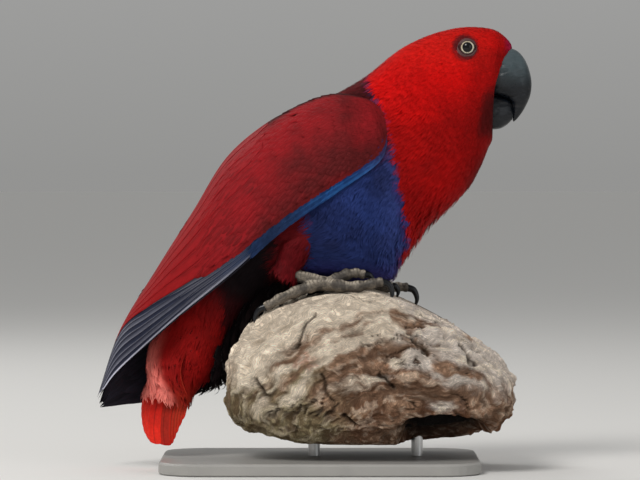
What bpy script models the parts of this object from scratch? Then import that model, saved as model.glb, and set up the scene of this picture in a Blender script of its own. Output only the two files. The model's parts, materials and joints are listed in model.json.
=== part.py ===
"""Female eclectus parrot, life size, on a cut length of limb held by a plain display stand.

Blender 4.5, metres, +Z up. The bird faces +X and its right side is -Y. The origin is the middle of the
stand's underside. Run with: blender --background --python part.py

The feathered body is one loft from the bill to the tail's tip, parted by thin cuts. Its right and left
wings are curved shells laid over it, and legs, bill and eyes are let into it. Sizes below are millimetres.
"""
import math

import bmesh
import bpy
import numpy as np

MM = 0.001
GAP = 0.3 * MM                      # clearance left between neighbouring solids

# --- Feathered body: dorsal x z, ventral x z, half width, roundness (2 is an ellipse) ----------------------
BODY = [
    (131.0, 286.0, 107.5, 240.5, 8.0, 2.2),     # feather edge at the bill
    (125.5, 293.5, 112.5, 230.0, 13.0, 2.3),    # forehead and chin
    (115.0, 299.0, 117.0, 223.5, 18.5, 2.4),    # forecrown
    (90.0, 299.0, 114.0, 216.0, 24.0, 2.4),     # crown and throat
    (57.5, 287.0, 108.5, 202.5, 29.0, 2.3),     # nape
    (28.0, 264.5, 98.5, 186.5, 35.5, 2.2),      # hind neck and breast
    (-14.0, 241.0, 74.0, 163.5, 41.0, 2.2),     # shoulders
    (-46.0, 218.0, 57.0, 140.5, 41.0, 2.2),     # back and belly
    (-60.0, 203.0, 46.0, 127.0, 39.5, 2.1),     # lower back and belly
    (-71.0, 183.0, 8.0, 127.5, 35.0, 1.95),     # thighs
    (-82.0, 157.0, -30.0, 122.0, 28.0, 2.0),    # rump and vent
    (-98.0, 121.0, -57.0, 94.0, 21.0, 2.0),     # tail coverts
    (-117.5, 79.0, -69.5, 63.0, 19.0, 2.0),     # end of the long coverts
]
# --- Tail: centre x z, angle of its upper side, half thickness, half width, twist towards the right --------
TAIL = [
    (-103.5, 50.0, 169.0, 12.0, 24.5, 37.0),
    (-107.0, 37.0, 173.0, 4.6, 24.5, 41.0),
    (-108.5, 25.0, 175.0, 2.2, 20.0, 42.0),
    (-108.0, 17.5, 176.0, 1.3, 11.0, 42.0),
    (-107.5, 14.8, 177.0, 0.8, 4.0, 42.0),
]
BODY_PARTS = {"head": (0.0, 4.0, 13), "neck": (4.0, 5.3, 4), "trunk": (5.3, 10.0, 12),
              "tail_coverts": (10.0, 12.75, 8), "tail": (12.75, 17.0, 10)}
RING_POINTS = 24

# --- Wings: dorsal edge x z, ventral edge x z, half width at that edge and at the widest, thickness --------
WING_RIGHT = [
    (43.0, 242.0, 46.0, 224.5, 34.0, 37.0, 3.0),        # bend of the wing
    (30.0, 252.0, 40.0, 208.0, 21.0, 43.5, 8.0),
    (3.5, 254.0, 13.5, 188.5, 8.0, 47.0, 9.0),
    (-30.5, 238.5, -24.0, 162.0, 4.0, 48.0, 8.0),
    (-62.5, 212.5, -60.0, 130.5, 2.0, 45.0, 7.0),
    (-86.5, 174.5, -93.0, 104.5, 1.5, 38.0, 5.5),
    (-111.5, 135.0, -121.5, 80.0, 1.5, 29.0, 4.0),
    (-136.0, 94.0, -140.0, 62.5, 2.0, 19.0, 3.0),
    (-151.0, 49.5, -151.0, 46.0, 9.0, 11.5, 1.4),       # tip of the longest primary
]
LEFT_DORSAL_DROP = (0, 0, 0, 1.0, 3.0, 6.0, 9.0, 8.0, 5.5)          # the left wing hangs lower
LEFT_VENTRAL_SHIFT = ((0, 0), (0, 0), (0, 0), (1, -6), (7, -27), (11, -42), (8, -35), (4, -21), (1, -6))
WING_TUCK = math.radians(115)       # how far the section turns in, from the back to the lower edge
FLIGHT_EDGE = (0.84, 0.90, 0.91, 0.90, 0.86, 0.74, 0.47, 0.08, 0.0)  # upper border of the flight feathers
WING_STEPS, COVERT_ROWS, FLIGHT_ROWS = 22, 7, 3
COVERTS_END = 7.0                   # station where the coverts and tertials end
END_SETBACK = 0.015                 # and by how much their end is drawn back, in stations
THIN_EDGE = 1.0

# --- Bill: ridge x z, cutting edge x z, half width -----------------------------------------------------------
BILL_UPPER = [
    (122.0, 286.0, 107.0, 255.0, 9.5), (132.5, 284.3, 116.5, 253.5, 11.0), (139.3, 277.3, 123.5, 252.0, 10.2),
    (143.4, 265.0, 127.5, 250.5, 8.3), (143.0, 254.0, 130.0, 247.5, 6.3), (139.0, 244.5, 131.0, 242.0, 3.8),
    (134.5, 238.0, 131.0, 238.5, 1.8), (131.6, 235.3, 131.0, 236.4, 0.5),
]
BILL_LOWER = [
    (106.0, 252.0, 107.0, 233.5, 7.5), (115.0, 253.5, 114.5, 230.5, 9.2), (123.0, 252.4, 121.5, 230.5, 8.4),
    (128.3, 248.0, 126.2, 233.6, 5.8), (130.4, 241.0, 129.3, 237.0, 2.2),
]

EYE_CENTRE = (99.4, 15.4, 285.4)
EYE_RADIUS = 5.8

# --- Legs: heel, sole, then each toe's joints, right leg; x, outward, z --------------------------------------
THIGH = ((-8.0, 27.0, 161.0, 15.0), (-18.0, 29.5, 147.0, 13.5), (-22.5, 30.5, 135.5, 6.5))
HEEL = (-19.5, 31.0, 133.5)
SOLE = (3.5, 30.0, 126.0)
TARSUS_RADII = (4.6, 4.2, 4.8)
TOES = {
    "outer_front": ((3.5, 30.0, 126.0), (14.0, 34.0, 124.6), (25.0, 36.5, 124.3), (35.0, 37.0, 126.4),
                    (41.0, 37.0, 127.6)),
    "inner_front": ((3.5, 30.0, 126.0), (11.0, 27.5, 129.0), (18.0, 26.0, 132.3), (24.5, 25.5, 133.4),
                    (29.0, 25.5, 132.2)),
    "outer_back": ((3.5, 30.0, 126.0), (-6.0, 34.0, 124.2), (-16.5, 36.5, 120.8), (-27.0, 37.5, 116.0),
                   (-35.5, 37.5, 111.0)),
    "inner_back": ((3.5, 30.0, 126.0), (-4.0, 25.0, 124.6), (-12.5, 22.5, 121.6), (-19.0, 21.5, 118.0)),
}
CLAWS = {
    "outer_front": ((41.0, 127.6), (46.2, 125.6), (48.4, 119.5), (46.3, 113.0)),
    "inner_front": ((29.0, 132.2), (33.2, 131.6), (35.2, 128.0), (34.0, 123.6)),
    "outer_back": ((-35.5, 111.0), (-40.6, 109.0), (-43.6, 103.6), (-43.2, 97.6)),
    "inner_back": ((-19.0, 118.0), (-23.4, 116.6), (-26.2, 112.4), (-26.0, 108.0)),
}
LEFT_FOOT_FORWARD = 18.5            # the left foot stands this much ahead of the right one
LEFT_TOE_DROP = {"outer_front": 6.0, "inner_front": 9.0, "outer_back": -7.5, "inner_back": -3.0}
TOE_RADII = (4.3, 3.9, 3.5)
CLAW_RADII = (2.6, 2.2, 1.5, 0.4)

# --- Perch: a burl at the end of a limb, rounded towards -Y and sawn off at +Y -------------------------------
PERCH_MIDDLE = (34.0, 60.0)
PERCH_LEFT, PERCH_RIGHT = 96.5, 97.0
PERCH_UP, PERCH_DOWN = 61.0, 42.0
PERCH_POWER_LEFT, PERCH_POWER_RIGHT, PERCH_POWER_UNDER = 2.3, 1.32, 3.4
PERCH_NEAR, PERCH_ROUND, PERCH_SAWN = -70.0, -36.0, 54.0

# --- Stand ---------------------------------------------------------------------------------------------------
BASE_LENGTH, BASE_DEPTH, BASE_THICK = 216.0, 156.0, 8.0
BASE_CORNER, BASE_BEVEL = 30.0, 1.5
ROD_RADIUS, ROD_PLACES, ROD_TOP = 4.0, (-4.0, 66.0), 34.0

COLOURS = {
    "red": ((0.50, 0.010, 0.008), 0.7), "maroon": ((0.19, 0.018, 0.022), 0.6),
    "blue": ((0.022, 0.035, 0.13), 0.55), "horn": ((0.012, 0.014, 0.016), 0.3),
    "eye": ((0.01, 0.01, 0.01), 0.05), "foot": ((0.13, 0.12, 0.11), 0.6),
    "bark": ((0.42, 0.36, 0.30), 0.85), "base": ((0.30, 0.30, 0.29), 0.45), "steel": ((0.6, 0.6, 0.6), 0.3),
}


def material(slot):
    """One Principled material for each finish."""
    found = bpy.data.materials.get(slot)
    if found:
        return found
    made = bpy.data.materials.new(slot)
    made.use_nodes = True
    shader = made.node_tree.nodes["Principled BSDF"]
    colour, roughness = COLOURS[slot]
    shader.inputs["Base Color"].default_value = (*colour, 1.0)
    shader.inputs["Roughness"].default_value = roughness
    shader.inputs["Metallic"].default_value = 1.0 if slot == "steel" else 0.0
    return made


def add_object(name, vertices, faces, slot):
    """A closed mesh in metres from vertices in millimetres, its faces turned outwards."""
    mesh = bpy.data.meshes.new(name)
    mesh.from_pydata([tuple(v) for v in np.asarray(vertices) * MM], [], faces)
    shell = bmesh.new()
    shell.from_mesh(mesh)
    bmesh.ops.recalc_face_normals(shell, faces=shell.faces)
    shell.to_mesh(mesh)
    shell.free()
    mesh.shade_smooth()
    mesh.set_sharp_from_angle(angle=math.radians(40))
    mesh.materials.append(material(slot))
    made = bpy.data.objects.new(name, mesh)
    bpy.context.scene.collection.objects.link(made)
    return made


def along(keys, places):
    """Rows read from a Catmull-Rom curve through the keys, at places counted in keys."""
    keys = np.asarray(keys, float)
    padded = np.vstack([2 * keys[0] - keys[1], keys, 2 * keys[-1] - keys[-2]])
    places = np.clip(np.asarray(places, float), 0.0, len(keys) - 1)
    first = np.minimum(places.astype(int), len(keys) - 2)
    t = (places - first)[:, None]
    a, b, c, d = (padded[first + k] for k in range(4))
    return 0.5 * (2 * b + (c - a) * t + (2 * a - 5 * b + 4 * c - d) * t ** 2 + (3 * b - a - 3 * c + d) * t ** 3)


def rings_object(name, rings, slot):
    """A solid skinned over rings of points, with flat ends."""
    count, points = rings.shape[:2]
    ring = np.arange(points)
    after = np.roll(ring, -1)
    faces = []
    for k in range(count - 1):
        low, high = k * points, (k + 1) * points
        faces += [tuple(f) for f in np.stack([low + ring, low + after, high + after, high + ring], 1).tolist()]
    faces += [tuple(ring[::-1].tolist()), tuple((ring + (count - 1) * points).tolist())]
    return add_object(name, rings.reshape(-1, 3), faces, slot)


def body_frames(places):
    """Centre, upward and sideways axes, half sizes and roundness of the body's sections.

    A body row gives a section by its two outline points; a tail row gives it by centre, angle and twist.
    """
    rows = []
    for back_x, back_z, belly_x, belly_z, half_width, power in BODY:
        tall = math.hypot(back_x - belly_x, back_z - belly_z)
        rows.append(((back_x + belly_x) / 2, (back_z + belly_z) / 2, (back_x - belly_x) / tall,
                     (back_z - belly_z) / tall, tall / 2, half_width, 0.0, power))
    for x, z, angle, half_thick, half_width, twist in TAIL:
        turn = math.radians(angle)
        rows.append((x, z, math.cos(turn), math.sin(turn), half_thick, half_width, math.radians(twist), 2.0))
    cx, cz, ux, uz, tall, wide, twist, power = along(rows, places).T
    length = np.hypot(ux, uz)
    zero = np.zeros_like(cx)
    up = np.stack([ux / length, zero, uz / length], 1)
    side = np.stack([zero, zero + 1, zero], 1)
    cos, sin = np.cos(twist)[:, None], np.sin(twist)[:, None]
    centre = np.stack([cx, zero, cz], 1)
    return centre, up * cos - side * sin, side * cos + up * sin, tall, wide, power


def body_rings(places):
    """Superellipse rings of the body: centre + tall cos + wide sin, each raised to 2 / roundness."""
    centre, up, side, tall, wide, power = body_frames(places)
    angle = np.linspace(0, 2 * math.pi, RING_POINTS, endpoint=False)[None, :]
    exponent = 2 / power[:, None]
    cos = np.sign(np.cos(angle)) * np.abs(np.cos(angle)) ** exponent * tall[:, None]
    sin = np.sign(np.sin(angle)) * np.abs(np.sin(angle)) ** exponent * wide[:, None]
    return centre[:, None] + cos[..., None] * up[:, None] + sin[..., None] * side[:, None]


def body_part(name, start, end, count, slot):
    """One length of the body, its two end rings drawn back by half a gap."""
    places = np.linspace(start, end, count)
    rings = body_rings(places)
    centre, up, side = body_frames(places)[:3]
    axis = np.cross(side, up)
    axis *= np.sign(np.sum(axis * np.gradient(centre, axis=0), 1))[:, None]
    rings[0] += axis[0] * GAP / MM / 2
    rings[-1] -= axis[-1] * GAP / MM / 2
    return rings_object(name, rings, slot)


def wing_points(rows, station, share, depth):
    """Points of a wing: station along it, share from its dorsal to its ventral edge, depth 0 out and 1 in.

    The section is part of an ellipse. It starts level on the back, and turns past upright by the tuck. The
    inner side is moved in along the normal by the thickness, which thins to both edges.
    """
    dx, dz, vx, vz, edge, widest, thick = along(rows, station.ravel()).T
    share = share.ravel()
    closing = 1 - math.cos(WING_TUCK)
    turn = np.arccos(np.clip(1 - share * closing, -1, 1))
    length = np.hypot(vx - dx, vz - dz)
    across_x, across_z = (vx - dx) / length, (vz - dz) / length
    run = length * share
    out = edge + (widest - edge) * np.sin(turn)
    normal_run, normal_out = -(widest - edge) * np.cos(turn), length * np.sin(turn) / closing + 1e-9
    scale = np.hypot(normal_run, normal_out)
    inward = depth.ravel() * np.maximum(thick * (0.3 + 0.7 * np.sqrt(np.sin(math.pi * share))), THIN_EDGE)
    run = run - inward * normal_run / scale
    out = out - inward * normal_out / scale
    return np.stack([dx + across_x * run, out, dz + across_z * run], 1)


def wing_piece(name, rows, side, stations, first_share, last_share, count, slot):
    """A closed shell over part of a wing: an outer and an inner grid, joined round the rim."""
    share = first_share[:, None] + (last_share - first_share)[:, None] * np.linspace(0, 1, count + 1)[None]
    station = np.repeat(stations[:, None], count + 1, 1)
    outer = wing_points(rows, station, share, np.zeros_like(share))
    inner = wing_points(rows, station, share, np.ones_like(share))
    points = np.stack([outer.reshape(*share.shape, 3), inner.reshape(*share.shape, 3)[:, ::-1]], 1)
    rings = points.reshape(len(stations), -1, 3)
    rings[..., 1] *= side
    return rings_object(name, rings, slot)


def wing(side_name, side, rows):
    """Coverts with tertials, and the flight feathers below them."""
    split = along(np.array(FLIGHT_EDGE)[:, None], np.linspace(0, 8, WING_STEPS + 1))[:, 0]
    stations = np.linspace(0, 8, WING_STEPS + 1)
    dx, dz, vx, vz = along(rows, stations).T[:4]
    half_gap = GAP / MM / 2 / np.hypot(vx - dx, vz - dz)
    shown = stations < COVERTS_END
    zero = np.zeros_like(split)
    covered = stations[shown]
    covered[-1] -= END_SETBACK
    coverts = wing_piece(f"wing_{side_name}", rows, side, covered, zero[shown],
                         (split - 1.5 * half_gap)[shown], COVERT_ROWS, "maroon")
    upper = np.where(shown, split + half_gap, np.minimum(split, 0.02))
    flight = wing_piece(f"flight_feathers_{side_name}", rows, side, stations, np.maximum(upper, 0), zero + 1,
                        FLIGHT_ROWS, "blue")
    return coverts, flight


def left_wing_rows():
    """The right wing's rows with the dorsal edge let down and the ventral edge spread."""
    rows = []
    for row, drop, (forward, lower) in zip(WING_RIGHT, LEFT_DORSAL_DROP, LEFT_VENTRAL_SHIFT):
        dx, dz, vx, vz, edge, widest, thick = row
        rows.append((dx, dz - drop, vx + forward, vz + lower, edge, widest, thick))
    return rows


def bill_half(name, rows, count):
    """A mandible: sections fanned from ridge to cutting edge, fullest below their middle."""
    ridge_x, ridge_z, edge_x, edge_z, wide = along(rows, np.linspace(0, len(rows) - 1, count)).T
    angle = np.linspace(0, 2 * math.pi, 16, endpoint=False)[None, :]
    share = (1 - np.cos(angle)) / 2
    share = share ** 0.9
    x = ridge_x[:, None] + (edge_x - ridge_x)[:, None] * share
    z = ridge_z[:, None] + (edge_z - ridge_z)[:, None] * share
    y = wide[:, None] * np.sign(np.sin(angle)) * np.abs(np.sin(angle)) ** 0.8
    return rings_object(name, np.stack([x, y, z], 2), "horn")


def tube(name, path, radii, points, count, slot):
    """A round bar along a smooth path, its radius read along the same way; the ends are domed."""
    path = np.asarray(path, float)
    places = np.linspace(0, len(path) - 1, count)
    centre = along(path, places)
    radius = along(np.array(radii, float)[:, None], places * (len(radii) - 1) / (len(path) - 1))[:, 0]
    axis = np.gradient(centre, axis=0)
    axis /= np.linalg.norm(axis, axis=1)[:, None]
    across = np.cross(axis, (0.0, 1.0, 0.0))
    across /= np.linalg.norm(across, axis=1)[:, None]
    other = np.cross(axis, across)
    angle = np.linspace(0, 2 * math.pi, points, endpoint=False)[None, :, None]
    rings = centre[:, None] + radius[:, None, None] * (np.cos(angle) * across[:, None] +
                                                       np.sin(angle) * other[:, None])
    start = centre[0] - axis[0] * radius[0] * 0.6 + (rings[0] - centre[0]) * 0.55
    end = centre[-1] + axis[-1] * radius[-1] * 0.6 + (rings[-1] - centre[-1]) * 0.55
    return rings_object(name, np.concatenate([start[None], rings, end[None]]), slot)


def perch_rings():
    """Rings of the limb: four superellipse quarters, shrunk to a dome at the near end."""
    depth = np.array([PERCH_NEAR, -69.0, -65.5, -59.5, -51.0, PERCH_ROUND, -16.0, 6.0, 30.0, PERCH_SAWN])
    dome = np.sqrt(np.clip(1 - ((PERCH_ROUND - depth) / (PERCH_ROUND - PERCH_NEAR)) ** 2, 0.01, 1))
    scale = np.where(depth < PERCH_ROUND, 0.24 + 0.76 * dome, 1.0)
    angle = np.linspace(0, 2 * math.pi, 32, endpoint=False)
    cos, sin = np.cos(angle), np.sin(angle)
    power = np.where(sin < 0, PERCH_POWER_UNDER, np.where(cos < 0, PERCH_POWER_LEFT, PERCH_POWER_RIGHT))
    wide = np.where(cos < 0, PERCH_LEFT, PERCH_RIGHT)
    tall = np.where(sin < 0, PERCH_DOWN, PERCH_UP)
    radius = (np.abs(cos / wide) ** power + np.abs(sin / tall) ** power) ** (-1 / power)
    x = PERCH_MIDDLE[0] + scale[:, None] * (radius * cos)[None]
    z = PERCH_MIDDLE[1] + scale[:, None] * (radius * sin)[None] - (1 - scale[:, None]) * 8
    y = np.repeat(depth[:, None], len(angle), 1)
    return np.stack([x, y, z], 2)


def eye(name, side):
    """A ball of rings round the sideways axis."""
    lean = np.radians([10, 28, 47, 68, 92, 124, 158])[:, None]
    turn = np.linspace(0, 2 * math.pi, 12, endpoint=False)[None, :]
    x = EYE_CENTRE[0] + EYE_RADIUS * np.sin(lean) * np.cos(turn)
    y = side * (EYE_CENTRE[1] + EYE_RADIUS * np.cos(lean)) + 0 * turn
    z = EYE_CENTRE[2] + EYE_RADIUS * np.sin(lean) * np.sin(turn)
    return rings_object(name, np.stack([x, y, z], 2), "eye")


def grown(source, name):
    """A hidden copy of a solid, larger by the gap all round, to cut its neighbours with."""
    mesh = source.data.copy()
    shell = bmesh.new()
    shell.from_mesh(mesh)
    shell.normal_update()
    moved = [(v, v.co + v.normal * GAP * min(v.calc_shell_factor(), 1.6)) for v in shell.verts]
    for vertex, place in moved:
        vertex.co = place
    shell.to_mesh(mesh)
    shell.free()
    made = bpy.data.objects.new(name, mesh)
    bpy.context.scene.collection.objects.link(made)
    made.hide_render = True
    made.display_type = "WIRE"
    return made


def cut(target, *cutters):
    """Takes each cutter from the target."""
    for cutter in cutters:
        taken = target.modifiers.new(f"clear_of_{cutter.name}", "BOOLEAN")
        taken.operation = "DIFFERENCE"
        taken.solver = "EXACT"
        taken.object = cutter


def leg_point(point, side, forward, drop=0.0):
    """A point of the right leg's list, moved forward for the left leg and set on its side."""
    x, out, z = point
    return (x + forward, side * out, z - drop)


def leg(side_name, side, forward, belly, wing_cutters, perch_cutter):
    """Thigh, tarsus with the sole, four toes (two forward, two back) and their claws."""
    thigh_path = [leg_point(p[:3], side, forward * 0.6) for p in THIGH]
    thigh = tube(f"thigh_{side_name}", thigh_path, [p[3] for p in THIGH], 14, 6, "maroon")
    cut(thigh, *belly, *wing_cutters)
    foot_path = [leg_point(p, side, forward) for p in (HEEL, SOLE)]
    middle = tuple((a + b) / 2 + (0.0, 0.0, 0.8)[k] for k, (a, b) in enumerate(zip(*foot_path)))
    foot = tube(f"foot_{side_name}", [foot_path[0], middle, foot_path[1]], TARSUS_RADII, 10, 6, "foot")
    cut(foot, grown(thigh, f"cut_thigh_{side_name}"), *belly, perch_cutter)
    taken = [grown(foot, f"cut_foot_{side_name}")]
    for toe_name, joints in TOES.items():
        drop = 0.0 if side < 0 else LEFT_TOE_DROP[toe_name]
        shares = np.linspace(0, 1, len(joints))
        path = [leg_point(p, side, forward, drop * s) for p, s in zip(joints, shares)]
        toe = tube(f"toe_{toe_name}_{side_name}", path, TOE_RADII, 8, 7, "foot")
        cut(toe, *taken, *belly, perch_cutter)
        taken.append(grown(toe, f"cut_toe_{toe_name}_{side_name}"))
        claw_path = [leg_point((x, joints[-1][1], z), side, forward, drop) for x, z in CLAWS[toe_name]]
        claw = tube(f"claw_{toe_name}_{side_name}", claw_path, CLAW_RADII, 6, 6, "horn")
        cut(claw, taken[-1], perch_cutter)


def stand():
    """A flat base with rounded corners and a bevelled edge, and two rods into the perch."""
    half_x, half_y = BASE_LENGTH / 2 - BASE_CORNER, BASE_DEPTH / 2 - BASE_CORNER
    angle = np.linspace(0, 2 * math.pi, 32, endpoint=False) + math.pi / 32
    corner_x, corner_y = np.sign(np.cos(angle)) * half_x, np.sign(np.sin(angle)) * half_y
    rings = []
    for height, inset in ((0.0, BASE_BEVEL / 2), (BASE_BEVEL / 2, 0.0), (BASE_THICK - BASE_BEVEL, 0.0),
                          (BASE_THICK, BASE_BEVEL)):
        radius = BASE_CORNER - inset
        ring = [corner_x + radius * np.cos(angle), corner_y + radius * np.sin(angle), angle * 0 + height]
        rings.append(np.stack(ring, 1))
    rings_object("stand_base", np.array(rings), "base")
    rods = []
    for number, place in enumerate(ROD_PLACES, 1):
        angle = np.linspace(0, 2 * math.pi, 20, endpoint=False)
        circle = np.stack([place + ROD_RADIUS * np.cos(angle), ROD_RADIUS * np.sin(angle)], 1)
        ends = [np.column_stack([circle, np.full(len(angle), z)]) for z in (BASE_THICK + GAP / MM, ROD_TOP)]
        rods.append(rings_object(f"stand_rod_{number}", np.array(ends), "steel"))
    return rods


def parrot():
    """Builds every solid."""
    parts, cutters = {}, {}
    for name, (start, end, count) in BODY_PARTS.items():
        slot = "red" if name in ("head", "neck", "tail") else "maroon"
        parts[name] = body_part(name, start, end, count, slot)
        cutters[name] = grown(parts[name], f"cut_{name}")
    for side_name, side in (("right", -1), ("left", 1)):
        ball = eye(f"eye_{side_name}", side)
        cut(parts["head"], grown(ball, f"cut_eye_{side_name}"))
    upper = bill_half("bill_upper", BILL_UPPER, 13)
    lower = bill_half("bill_lower", BILL_LOWER, 8)
    cut(upper, cutters["head"])
    cut(lower, cutters["head"], grown(upper, "cut_bill_upper"))
    perch = rings_object("perch", perch_rings(), "bark")
    perch_cutter = grown(perch, "cut_perch")
    for rod in stand():
        cut(perch, grown(rod, f"cut_{rod.name}"))
    for side_name, side, rows, forward in (("right", -1, WING_RIGHT, 0.0),
                                           ("left", 1, left_wing_rows(), LEFT_FOOT_FORWARD)):
        pieces = wing(side_name, side, rows)
        wing_cutters = [grown(piece, f"cut_{piece.name}") for piece in pieces]
        for piece in pieces:
            cut(piece, *(cutters[name] for name in BODY_PARTS if name != "head"))
        belly = (cutters["trunk"], cutters["tail_coverts"])
        leg(side_name, side, forward, belly, wing_cutters, perch_cutter)


def main():
    for old in list(bpy.data.objects):
        bpy.data.objects.remove(old)
    parrot()


main()
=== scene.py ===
"""Female eclectus parrot on a cut length of limb: skin, plumage, bill, eyes, feet, bark and stand.

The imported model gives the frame. The bird faces +X, its right side is -Y and +Z is up. Tables are in
millimetres and meshes in metres. Every feather is a small sheet laid in the two parameters of the body's or
the wing's outer form, its root at the skin's depth and its tip at the form itself, so it follows the lie of
the coat.
"""
import json
import math

import bmesh
import bpy
import numpy as np
from bpy.props import FloatProperty, FloatVectorProperty, PointerProperty
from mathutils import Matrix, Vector

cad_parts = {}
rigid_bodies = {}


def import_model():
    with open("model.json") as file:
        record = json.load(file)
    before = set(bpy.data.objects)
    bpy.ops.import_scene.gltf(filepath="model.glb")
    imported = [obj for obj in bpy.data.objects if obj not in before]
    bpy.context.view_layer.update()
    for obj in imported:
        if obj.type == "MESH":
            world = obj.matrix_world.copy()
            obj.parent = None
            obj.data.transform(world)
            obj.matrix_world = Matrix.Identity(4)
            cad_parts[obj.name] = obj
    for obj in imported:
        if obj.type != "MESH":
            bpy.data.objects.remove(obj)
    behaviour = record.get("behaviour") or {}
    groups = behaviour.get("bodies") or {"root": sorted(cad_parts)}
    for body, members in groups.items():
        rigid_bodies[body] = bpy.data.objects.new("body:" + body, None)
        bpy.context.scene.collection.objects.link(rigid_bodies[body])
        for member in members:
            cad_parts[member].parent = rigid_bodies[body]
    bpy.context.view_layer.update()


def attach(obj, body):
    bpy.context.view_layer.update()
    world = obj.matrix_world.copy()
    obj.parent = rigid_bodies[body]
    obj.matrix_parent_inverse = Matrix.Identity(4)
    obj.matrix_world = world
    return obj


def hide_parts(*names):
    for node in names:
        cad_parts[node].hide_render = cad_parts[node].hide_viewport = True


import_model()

bl_info = {
    "name": "Eclectus parrot",
    "version": (1, 0, 0),
    "blender": (4, 5, 0),
    "location": "View3D > Sidebar > Parrot",
    "description": "Skin, plumage, bill, eyes, feet, perch and stand of a life-size female eclectus parrot",
    "category": "Add Mesh",
}

MM = 0.001

# --- The bird's outer form, as its solids have it ---------------------------------------------------------
# dorsal x z, ventral x z, half width, roundness
BODY = [
    (131.0, 286.0, 107.5, 240.5, 8.0, 2.2), (125.5, 293.5, 112.5, 230.0, 13.0, 2.3),
    (115.0, 299.0, 117.0, 223.5, 18.5, 2.4), (90.0, 299.0, 114.0, 216.0, 24.0, 2.4),
    (57.5, 287.0, 108.5, 202.5, 29.0, 2.3), (28.0, 264.5, 98.5, 186.5, 35.5, 2.2),
    (-14.0, 241.0, 74.0, 163.5, 41.0, 2.2), (-46.0, 218.0, 57.0, 140.5, 41.0, 2.2),
    (-60.0, 203.0, 46.0, 127.0, 39.5, 2.1), (-71.0, 183.0, 8.0, 127.5, 35.0, 1.95),
    (-82.0, 157.0, -30.0, 122.0, 28.0, 2.0), (-98.0, 121.0, -57.0, 94.0, 21.0, 2.0),
    (-117.5, 79.0, -69.5, 63.0, 19.0, 2.0),
]
# centre x z, angle of the upper side, half thickness, half width, twist to the right
TAIL = [
    (-103.5, 50.0, 169.0, 12.0, 24.5, 37.0), (-107.0, 37.0, 173.0, 4.6, 24.5, 41.0),
    (-108.5, 25.0, 175.0, 2.2, 20.0, 42.0), (-108.0, 17.5, 176.0, 1.3, 11.0, 42.0),
    (-107.5, 14.8, 177.0, 0.8, 4.0, 42.0),
]
# dorsal edge x z, ventral edge x z, half width at that edge, widest, thickness
WING_RIGHT = [
    (43.0, 242.0, 46.0, 224.5, 34.0, 37.0, 3.0), (30.0, 252.0, 40.0, 208.0, 21.0, 43.5, 8.0),
    (3.5, 254.0, 13.5, 188.5, 8.0, 47.0, 9.0), (-30.5, 238.5, -24.0, 162.0, 4.0, 48.0, 8.0),
    (-62.5, 212.5, -60.0, 130.5, 2.0, 45.0, 7.0), (-86.5, 174.5, -93.0, 104.5, 1.5, 38.0, 5.5),
    (-111.5, 135.0, -121.5, 80.0, 1.5, 29.0, 4.0), (-136.0, 94.0, -140.0, 62.5, 2.0, 19.0, 3.0),
    (-151.0, 49.5, -151.0, 46.0, 9.0, 11.5, 1.4),
]
LEFT_DORSAL_DROP = (0, 0, 0, 1.0, 3.0, 6.0, 9.0, 8.0, 5.5)
LEFT_VENTRAL_SHIFT = ((0, 0), (0, 0), (0, 0), (1, -6), (7, -27), (11, -42), (8, -35), (4, -21), (1, -6))
WING_LEFT = [(dx, dz - drop, vx + ahead, vz + lower, *rest) for (dx, dz, vx, vz, *rest), drop, (ahead, lower)
             in zip(WING_RIGHT, LEFT_DORSAL_DROP, LEFT_VENTRAL_SHIFT)]
WINGS = {-1: WING_RIGHT, 1: WING_LEFT}
SIDES = {"right": -1, "left": 1}
WING_TUCK = math.radians(115)
FLIGHT_EDGE = (0.84, 0.90, 0.91, 0.90, 0.86, 0.74, 0.47, 0.08, 0.0)

EYE_CENTRE = (99.4, 15.4, 285.4)
EYE_RADIUS = 5.8

# ridge x z, cutting edge x z, half width
BILL_UPPER = [
    (122.0, 286.0, 107.0, 255.0, 9.5), (132.5, 284.3, 116.5, 253.5, 11.0), (139.3, 277.3, 123.5, 252.0, 10.2),
    (143.4, 265.0, 127.5, 250.5, 8.3), (143.0, 254.0, 130.0, 247.5, 6.3), (139.0, 244.5, 131.0, 242.0, 3.8),
    (134.5, 238.0, 131.0, 238.5, 1.8), (131.6, 235.3, 131.0, 236.4, 0.5),
]
BILL_LOWER = [
    (106.0, 252.0, 107.0, 233.5, 7.5), (115.0, 253.5, 114.5, 230.5, 9.2), (123.0, 252.4, 121.5, 230.5, 8.4),
    (129.4, 249.0, 126.6, 233.0, 5.6), (131.6, 242.4, 130.6, 236.8, 2.4),
]

# right leg: x, outward, z
THIGH = ((-8.0, 27.0, 161.0), (-18.0, 29.5, 147.0), (-22.5, 30.5, 135.5))
THIGH_FORWARD = 0.6                 # share of the left foot's step forward that its thigh takes
HEEL, SOLE = (-19.5, 31.0, 133.5), (3.5, 30.0, 126.0)
SHANK_START, SHANK_ABOVE = (-18.5, 27.0, 140.5), (-26.5, 31.0, 140.5)
TARSUS_RADII = (4.6, 4.2, 4.8)
TOES = {
    "outer_front": ((3.5, 30.0, 126.0), (14.0, 34.0, 124.6), (25.0, 36.5, 124.3), (35.0, 37.0, 126.4),
                    (41.0, 37.0, 127.6)),
    "inner_front": ((3.5, 30.0, 126.0), (11.0, 27.5, 129.0), (18.0, 26.0, 132.3), (24.5, 25.5, 133.4),
                    (29.0, 25.5, 132.2)),
    "outer_back": ((3.5, 30.0, 126.0), (-6.0, 34.0, 124.2), (-16.5, 36.5, 120.8), (-27.0, 37.5, 116.0),
                   (-35.5, 37.5, 111.0)),
    "inner_back": ((3.5, 30.0, 126.0), (-4.0, 25.0, 124.6), (-12.5, 22.5, 121.6), (-19.0, 21.5, 118.0)),
}
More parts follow.
